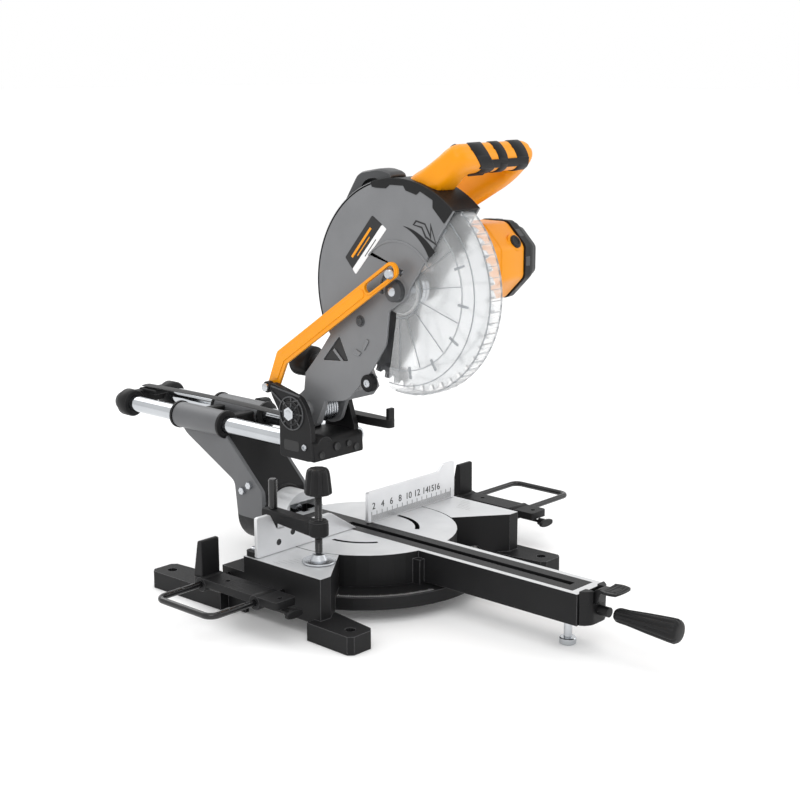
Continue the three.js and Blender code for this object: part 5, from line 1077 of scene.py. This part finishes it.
# %% Fences and scale
FENCE_Y = span("fence_left")[0][1]
OUT_X = span("fence_right")[1][0]
FOOT_TOP = TABLE + 7.3
for side, node, top in ((-1, "fence_left", 105.0), (1, "fence_right", 117.0)):
    tall = span(node)[1][2]
    if side < 0:
        inner_edge = [(11, TABLE + 0.4), (58, top)]
    else:
        inner_edge = [(11, TABLE + 0.4), (11, top - 1), (14, top)]
    line = inner_edge + [(OUT_X - 34, top), (OUT_X - 22, tall), (OUT_X, tall), (OUT_X, TABLE + 0.4)]
    line = rounded([(side * x, z) for x, z in line], 3.2, 5)
    prism(f"fence_plate_{node[6:]}", line, FENCE_Y, FENCE_Y + 5, "Y", "ground_aluminium", "base", bevel=0.5,
          replaces=[node])
    pad = rounded([(side * 125, FENCE_Y + 4), (side * OUT_X, FENCE_Y + 4), (side * OUT_X, 29),
                   (side * 125, 29)], 5)
    holes = [ring((side * 176.5, FENCE_Y + 15), 3.4, 24)]
    if side < 0:
        holes.append(ring((-143, 24), 7.2, 32))
    prism(f"fence_pad_{node[6:]}", pad, TABLE + 0.3, FOOT_TOP, "Z", "powder_coated_aluminium", "base", holes,
          bevel=0.6)
TICK = 0.42
ticks = []
for k in range(81):
    x = 18 + 2 * k
    high = TABLE + (15 if k % 5 == 0 else 10)
    face = [(x - TICK, TABLE + 1.5), (x + TICK, TABLE + 1.5), (x + TICK, high), (x - TICK, high)]
    if x <= OUT_X - 6:
        ticks.append([(a, FENCE_Y + deep, z) for deep in (-0.08, 0.3) for a, z in face])
bars("fence_ticks_right", ticks, "black_print_and_painted_shade", "base")


def figure(text, x, z, height):
    """A number as a thin mesh standing on the fence face."""
    curve = bpy.data.curves.new(f"number_{text}", "FONT")
    curve.body = text
    curve.size = height * MM * 1.35
    curve.align_x = "CENTER"
    curve.extrude = 0.0002
    flat = bpy.data.objects.new(f"number_{text}_curve", curve)
    bpy.context.scene.collection.objects.link(flat)
    bpy.context.view_layer.update()
    mesh = bpy.data.meshes.new_from_object(flat)
    bpy.data.objects.remove(flat)
    points = np.empty(len(mesh.vertices) * 3)
    mesh.vertices.foreach_get("co", points)
    points = points.reshape(-1, 3) / MM
    placed = np.stack([x + points[:, 0], FENCE_Y - 0.05 + points[:, 2] * -1, z + points[:, 1]], -1)
    faces = [list(face.vertices) for face in mesh.polygons]
    side = "left" if x < 0 else "right"
    return build(f"fence_number_{side}_{text}", placed, faces, "black_print_and_painted_shade", "base")


for i, number in enumerate((2, 4, 6, 8, 10, 12, 14, 15, 16)):
    x = 22 + 17.2 * min(i, 6) + 12 * max(0, i - 6)
    if x < OUT_X - 6:
        figure(str(number), x, TABLE + 18, 9.5)
# Painted shade: black rings on the fence face stand for the shade inside its holes.
for x, z in ((126, 96), (150, 88)):
    turned(f"fence_hole_{x}_{z}", [(FENCE_Y - 0.1, 0.5), (FENCE_Y - 0.1, 3.0), (FENCE_Y - 0.3, 3.8),
                                  (FENCE_Y + 0.4, 4.4)], (-x, z), "Y", "black_print_and_painted_shade", "base", 32)
for side in (-1, 1):
    screw(f"fence_screw_{side}", (side * 176.5, FENCE_Y + 15), FOOT_TOP + 1, "Z", "base", 5.2, 2.4)
print("fence height", span("fence_right")[1][2].round(1))

# %% [markdown]
# A degree scale runs on the base ring in front, and each fixed table has a few short lines. The marks are
# thin raised prisms a fraction of a millimetre high.

# %% Marks on the table and the ring
RING_TOP = 33.0
RING_R = 153.5
faces, marks = [], []


def slip(points, low, high):
    """Adds a thin upright prism over a flat outline to the running mesh of marks."""
    b, n = len(marks), len(points)
    marks.extend([(x, y, low) for x, y in points] + [(x, y, high) for x, y in points])
    faces.append(list(range(b + n, b + 2 * n)))
    faces.append(list(range(b, b + n))[::-1])
    for i in range(n):
        j = (i + 1) % n
        faces.append([b + i, b + j, b + n + j, b + n + i])


for a in range(-150, -29, 1):
    if abs(a + 90) < 14:
        continue
    long = 7 if a % 5 == 0 else 4
    edges = [polar((0, 0), RING_R - long, a - 0.12), polar((0, 0), RING_R, a - 0.12),
             polar((0, 0), RING_R, a + 0.12), polar((0, 0), RING_R - long, a + 0.12)]
    slip(edges, RING_TOP - 0.3, RING_TOP + 0.1)
build("ring_degree_marks", marks, faces, "white_print", "base")
faces, marks = [], []
for side in (-1, 1):
    for i in range(6):
        x = side * (150 + 6 * i)
        slip([(x - 0.3, -52 + 5 * i), (x + 0.3, -52 + 5 * i), (x + 0.3, -28 + 3 * i), (x - 0.3, -28 + 3 * i)],
             TABLE - 0.3, TABLE + 0.08)
build("table_engraving", marks, faces, "bare_cast_aluminium", "base")
print("marks ready, ring top", span("base_casting")[1].round(1))

# %% [markdown]
# The hold-down clamp has a black post and arm, a threaded screw with a fluted knob and a bright pad.

# %% Clamp
POST, ARM, KNOB, PAD = span("clamp_post"), span("clamp_arm"), span("clamp_screw"), span("clamp_pad")
at = centre("clamp_post")[:2]
turned("clamp_post_rod", [(POST[0][2], 1), (POST[0][2], 5.3), (POST[1][2] - 1, 5.5), (POST[1][2], 4.4),
                          (POST[1][2], 1)], at, "Z", "gloss_black_steel", "clamp_post", 48,
       replaces=["clamp_post"])
turned("clamp_post_collar", [(82, 6), (82, 9), (83, 10), (88, 10), (89, 9), (89, 6)], at, "Z",
       "powder_coated_aluminium", "clamp_post", 48, True)
sx, sy = centre("clamp_pad")[:2]
z0, z1 = ARM[0][2] + 2, ARM[1][2]
side_line = rounded([(at[1] + 13, z0), (at[1] + 13, z1), (sy - 10, z1 - 2), (sy - 10, z0 - 2),
                     (sy + 9, z0 - 2), (at[1] - 8, z0 + 3)], 3.5, 5)
prism("clamp_arm_bar", side_line, at[0] - 8.8, at[0] + 8.8, "X", "powder_coated_aluminium", "clamp_arm",
      bevel=2.2, replaces=["clamp_arm"])
turned("clamp_arm_eye", [(z0 - 1.5, 5.4), (z0 - 1.5, 10), (z0, 12), (z1 - 1, 12), (z1 + 1, 10),
                         (z1 + 1, 5.4)], (sx, sy), "Z", "powder_coated_aluminium", "clamp_arm", 48, True)
rod = [(PAD[1][2] - 1, 3.5)]
for k in range(38):
    level = PAD[1][2] + 1 + k * 2.0
    rod += [(level, 4.2), (level + 1, 4.9)]
rod += [(KNOB[1][2] - 26, 4.5)]
turned("clamp_thread", rod, (sx, sy), "Z", "gloss_black_steel", "clamp_screw", 32, replaces=["clamp_screw"])
top = KNOB[1][2]
knob = [(top - 32, 5), (top - 32, 15.8), (top - 31, 17), (top - 28, 17), (top - 8, 14.8), (top - 3, 13.6),
        (top - 0.8, 11.5), (top, 8), (top - 0.6, 5), (top - 0.6, 1)]
weights = [0, 0.2, 0.8, 1, 1, 0.8, 0.3, 0, 0, 0]
turned("clamp_knob", knob, (sx, sy), "Z", "black_nylon", "clamp_screw", 160, flutes=(10, 2.2, weights),
       angle=60)
z = TABLE + 0.4
foot = [(z, 2), (z, 20), (z + 0.8, 21), (z + 2.4, 20.4), (z + 3, 17), (z + 3.4, 10.5), (z + 10, 7.6),
        (z + 10.8, 3)]
turned("clamp_pad_disc", foot, (sx, sy), "Z", "bright_steel", "clamp_pad", 80, replaces=["clamp_pad"])
print("clamp knob top", top.round(1))

# %% [markdown]
# The extension wires are bent round bar, swept along a path with round corners; on each one a cast stop
# bar slides, with an upright nose and a wing screw underneath.

# %% Extensions
for side, name in ((-1, "left"), (1, "right")):
    wire, bar, key = (span(f"extension_{part}_{name}") for part in ("wire", "bar", "screw"))
    z = (wire[0][2] + wire[1][2]) / 2
    wire_r = (wire[1][2] - wire[0][2]) / 2
    y0, y1 = wire[0][1] + wire_r, wire[1][1] - wire_r
    near, outer_x = (wire[1][0], wire[0][0] + wire_r) if side < 0 else (wire[0][0], wire[1][0] - wire_r)
    corner = 12
    a = arc((outer_x - side * corner, y0 + corner), corner, -90, 0 if side > 0 else -180, 14)
    b = arc((outer_x - side * corner, y1 - corner), corner, 0 if side > 0 else 180, 90, 14)
    runs = np.linspace(near, outer_x - side * corner, 12)
    legs_a = np.stack([runs, np.full(12, y0)], -1)
    legs_b = np.stack([runs[::-1], np.full(12, y1)], -1)
    across = np.stack([np.full(8, outer_x), np.linspace(y0 + corner, y1 - corner, 8)], -1)
    flat = np.concatenate([legs_a[:-1], a, across[1:-1], b, legs_b[1:]])
    path = raised(flat, z, "Z")
    pipe(f"wire_loop_{name}", path, wire_r - 0.05, "gloss_black_steel", f"extension_wire_{name}", sides=24,
         replaces=[f"extension_wire_{name}"])
    x0, x1 = bar[0][0], bar[1][0]
    plan = rounded([(x0, -77), (x1, -77), (x1, 72), (x0, 72)], 5, 5)
    holes = [ring(((x0 + x1) / 2, y), 3.2, 24) for y in (-66, 26)]
    prism(f"stop_bar_{name}", plan, 41, 51, "Z", "powder_coated_aluminium", f"extension_bar_{name}", holes,
          bevel=1.3, replaces=[f"extension_bar_{name}"])
    nose = rounded([(57, 50), (73, 50), (64.5, 97), (57.5, 97)], 2.5, 5)
    prism(f"stop_nose_{name}", nose, x0 + 2, x1 - 2, "X", "powder_coated_aluminium", f"extension_bar_{name}",
          bevel=1.2)
    for y in (y0, y1):
        lump = [(x0 - 0.5, 4.3), (x0 - 0.5, 8.5), (x0 + 1, 9.6), (x1 - 1, 9.6), (x1 + 0.5, 8.5),
                (x1 + 0.5, 4.3)]
        turned(f"stop_lug_{name}_{'front' if y < 0 else 'back'}", lump, (y, z), "X",
               "powder_coated_aluminium", f"extension_bar_{name}", 48, True)
    kx, kz = (key[0][0] + key[1][0]) / 2, (key[0][2] + key[1][2]) / 2
    wing = rounded([(kx - 13, kz - 3), (kx - 13, kz + 3), (kx - 4, kz + 5), (kx + 4, kz + 5),
                    (kx + 13, kz + 3), (kx + 13, kz - 3), (kx + 4, kz - 5), (kx - 4, kz - 5)], 3, 5)
    prism(f"stop_wing_{name}", wing, key[0][1], key[0][1] + 5, "Y", "black_nylon", f"extension_screw_{name}",
          bevel=1.0, replaces=[f"extension_screw_{name}"])
    turned(f"stop_wing_stem_{name}",
           [(key[0][1] + 3, 1), (key[0][1] + 3, 5), (-77.6, 5), (-77.6, 2), (-45, 2), (-45, 0.5)], (kx, kz),
           "Y", "black_nylon", f"extension_screw_{name}", 32)
print("extensions ready")

# %% [markdown]
# At the front of the arm sit a moulded cover, the thumb lever of the detent and the fluted grip that
# locks the miter angle; under the arm a chromed bolt props it on the bench.

# %% Front of the arm
COVER, LOCK = span("arm_end_cover"), span("miter_lock_handle")
back = COVER[1][1]
plan = rounded([(-25.4, back), (-19.4, back - 8), (-12, back - 12), (12, back - 12), (19.4, back - 8),
                (25.4, back)], 3, 5)
prism("arm_cover_shell", plan, COVER[0][2], 62, "Z", "black_nylon", "turntable", bevel=1.4,
      replaces=["arm_end_cover"])
for side in (-1, 1):
    cheek = rounded([(side * 11, back), (side * 11, back - 12), (side * 18, back - 9), (side * 25.4, back)],
                    2, 4)
    prism(f"arm_cover_cheek_{'right' if side > 0 else 'left'}", cheek, 61, COVER[1][2], "Z", "black_nylon",
          "turntable", bevel=1.2)
ly, lz = back - 9.7, TABLE - 7
stem = rounded([(ly + 5, lz - 4), (ly + 5, lz + 4), (ly - 4, lz + 12), (ly - 30, lz + 14), (ly - 30, lz + 11),
                (ly - 8, lz + 7), (ly - 4, lz - 8)], 3, 5)
prism("lever_stem", stem, -8, 8, "X", "black_nylon", "detent_lever", bevel=1.0, replaces=["detent_lever"])
ROWS, COLS = 33, 25
xs, ys = np.meshgrid(np.linspace(-1, 1, ROWS), np.linspace(0, 1, COLS), indexing="ij")
width = 18 * (0.86 + 0.14 * np.sin(np.pi * np.clip(ys, 0, 1)))
px = width * xs
py = ly - 13 - 21 * ys - 1.5 * (1 - xs ** 2) * ys
dish = 1.2 * xs ** 2 + 0.5 * np.sin(ys * 8 * np.pi) * (np.abs(xs) < 0.75) * (ys > 0.15)
upper = np.stack([px, py, lz + 13.4 + dish], -1)
lower = np.stack([px, py, lz + 11.3 + 0 * dish], -1)
sheet = np.concatenate([upper.reshape(-1, 3), lower.reshape(-1, 3)])
n = ROWS * COLS
top_faces = grid_faces(ROWS, COLS, False, False)
ids = np.arange(n).reshape(ROWS, COLS)
loop_ids = [*ids[:, 0], *ids[-1, 1:], *ids[-2::-1, -1], *ids[0, -2:0:-1]]
rim_faces = [[loop_ids[k - 1], loop_ids[k], loop_ids[k] + n, loop_ids[k - 1] + n]
             for k in range(len(loop_ids))]
under_faces = [[v + n for v in face[::-1]] for face in top_faces]
all_faces = top_faces + under_faces + [face[::-1] for face in rim_faces]
build("lever_thumb_plate", sheet, all_faces, "black_nylon", "detent_lever", angle=50)
gz = 52.0
gy0, gy1 = -397.0, LOCK[0][1]
length = gy0 - gy1
grip_profile = [(gy0 + 3, 3), (gy0 + 3, 6.6), (gy0, 8.4), (gy0 - 3, 9), (gy0 - 0.15 * length, 9.2),
                (gy0 - 0.5 * length, 12), (gy0 - 0.85 * length, 14.3), (gy1 + 5, 14.5), (gy1 + 1.5, 12.5),
                (gy1, 9), (gy1, 2)]
weights = [0, 0, 0, 0.3, 1, 1, 1, 0.7, 0.1, 0, 0]
turned("lock_grip", grip_profile, (0, gz), "Y", "black_nylon", "miter_lock", 192, flutes=(12, 1.6, weights),
       angle=60, replaces=["miter_lock_handle"])
turned("lock_rod", [(gy0 + 12, 1), (gy0 + 12, 6), (-300, 6), (-300, 1)], (0, gz), "Y", "black_nylon",
       "miter_lock", 32)
PROP = span("arm_support_bolt")
px, py = centre("arm_support_bolt")[:2]
prop = [(0, 1), (0, 9.2), (1, 10.2), (7, 10.2), (8, 9.2), (8, 5), (PROP[1][2] - 2, 5), (PROP[1][2], 4),
        (PROP[1][2], 1)]
turned("prop_bolt", prop, (px, py), "Z", "hard_chrome", "turntable", 48, replaces=["arm_support_bolt"])
print("front of the arm ready")

# %% [markdown]
# The floor is a plain pale sheet with a trace of its own light, so that it fades into the white sky.

# %% Floor, size and finish
bpy.ops.mesh.primitive_plane_add(size=60, location=(0, 0, -0.0005))
floor = bpy.context.object
floor.name = "studio_floor"
ground = bpy.data.materials.new("matte_studio_floor")
ground.use_nodes = True
tree = ground.node_tree
tree.nodes.clear()
where = add(tree, "TexCoord").outputs["Object"]
dust = add(tree, "TexNoise", {}, {"Vector": where, "Scale": 3.0, "Detail": 4.0})
tone = add(tree, "Mix", {"data_type": "RGBA"}, {0: dust.outputs["Fac"], 6: rgb("#f8f8f8"), 7: rgb("#fbfbfb")})
matte = add(tree, "BsdfPrincipled", {},
            {"Base Color": tone.outputs[2], "Roughness": 0.8, "Emission Color": (1, 1, 1, 1),
             "Emission Strength": 0.06})
tree.links.new(matte.outputs[0], add(tree, "OutputMaterial").inputs["Surface"])
floor.data.materials.append(ground)

bpy.context.scene.view_settings.view_transform = "Standard"
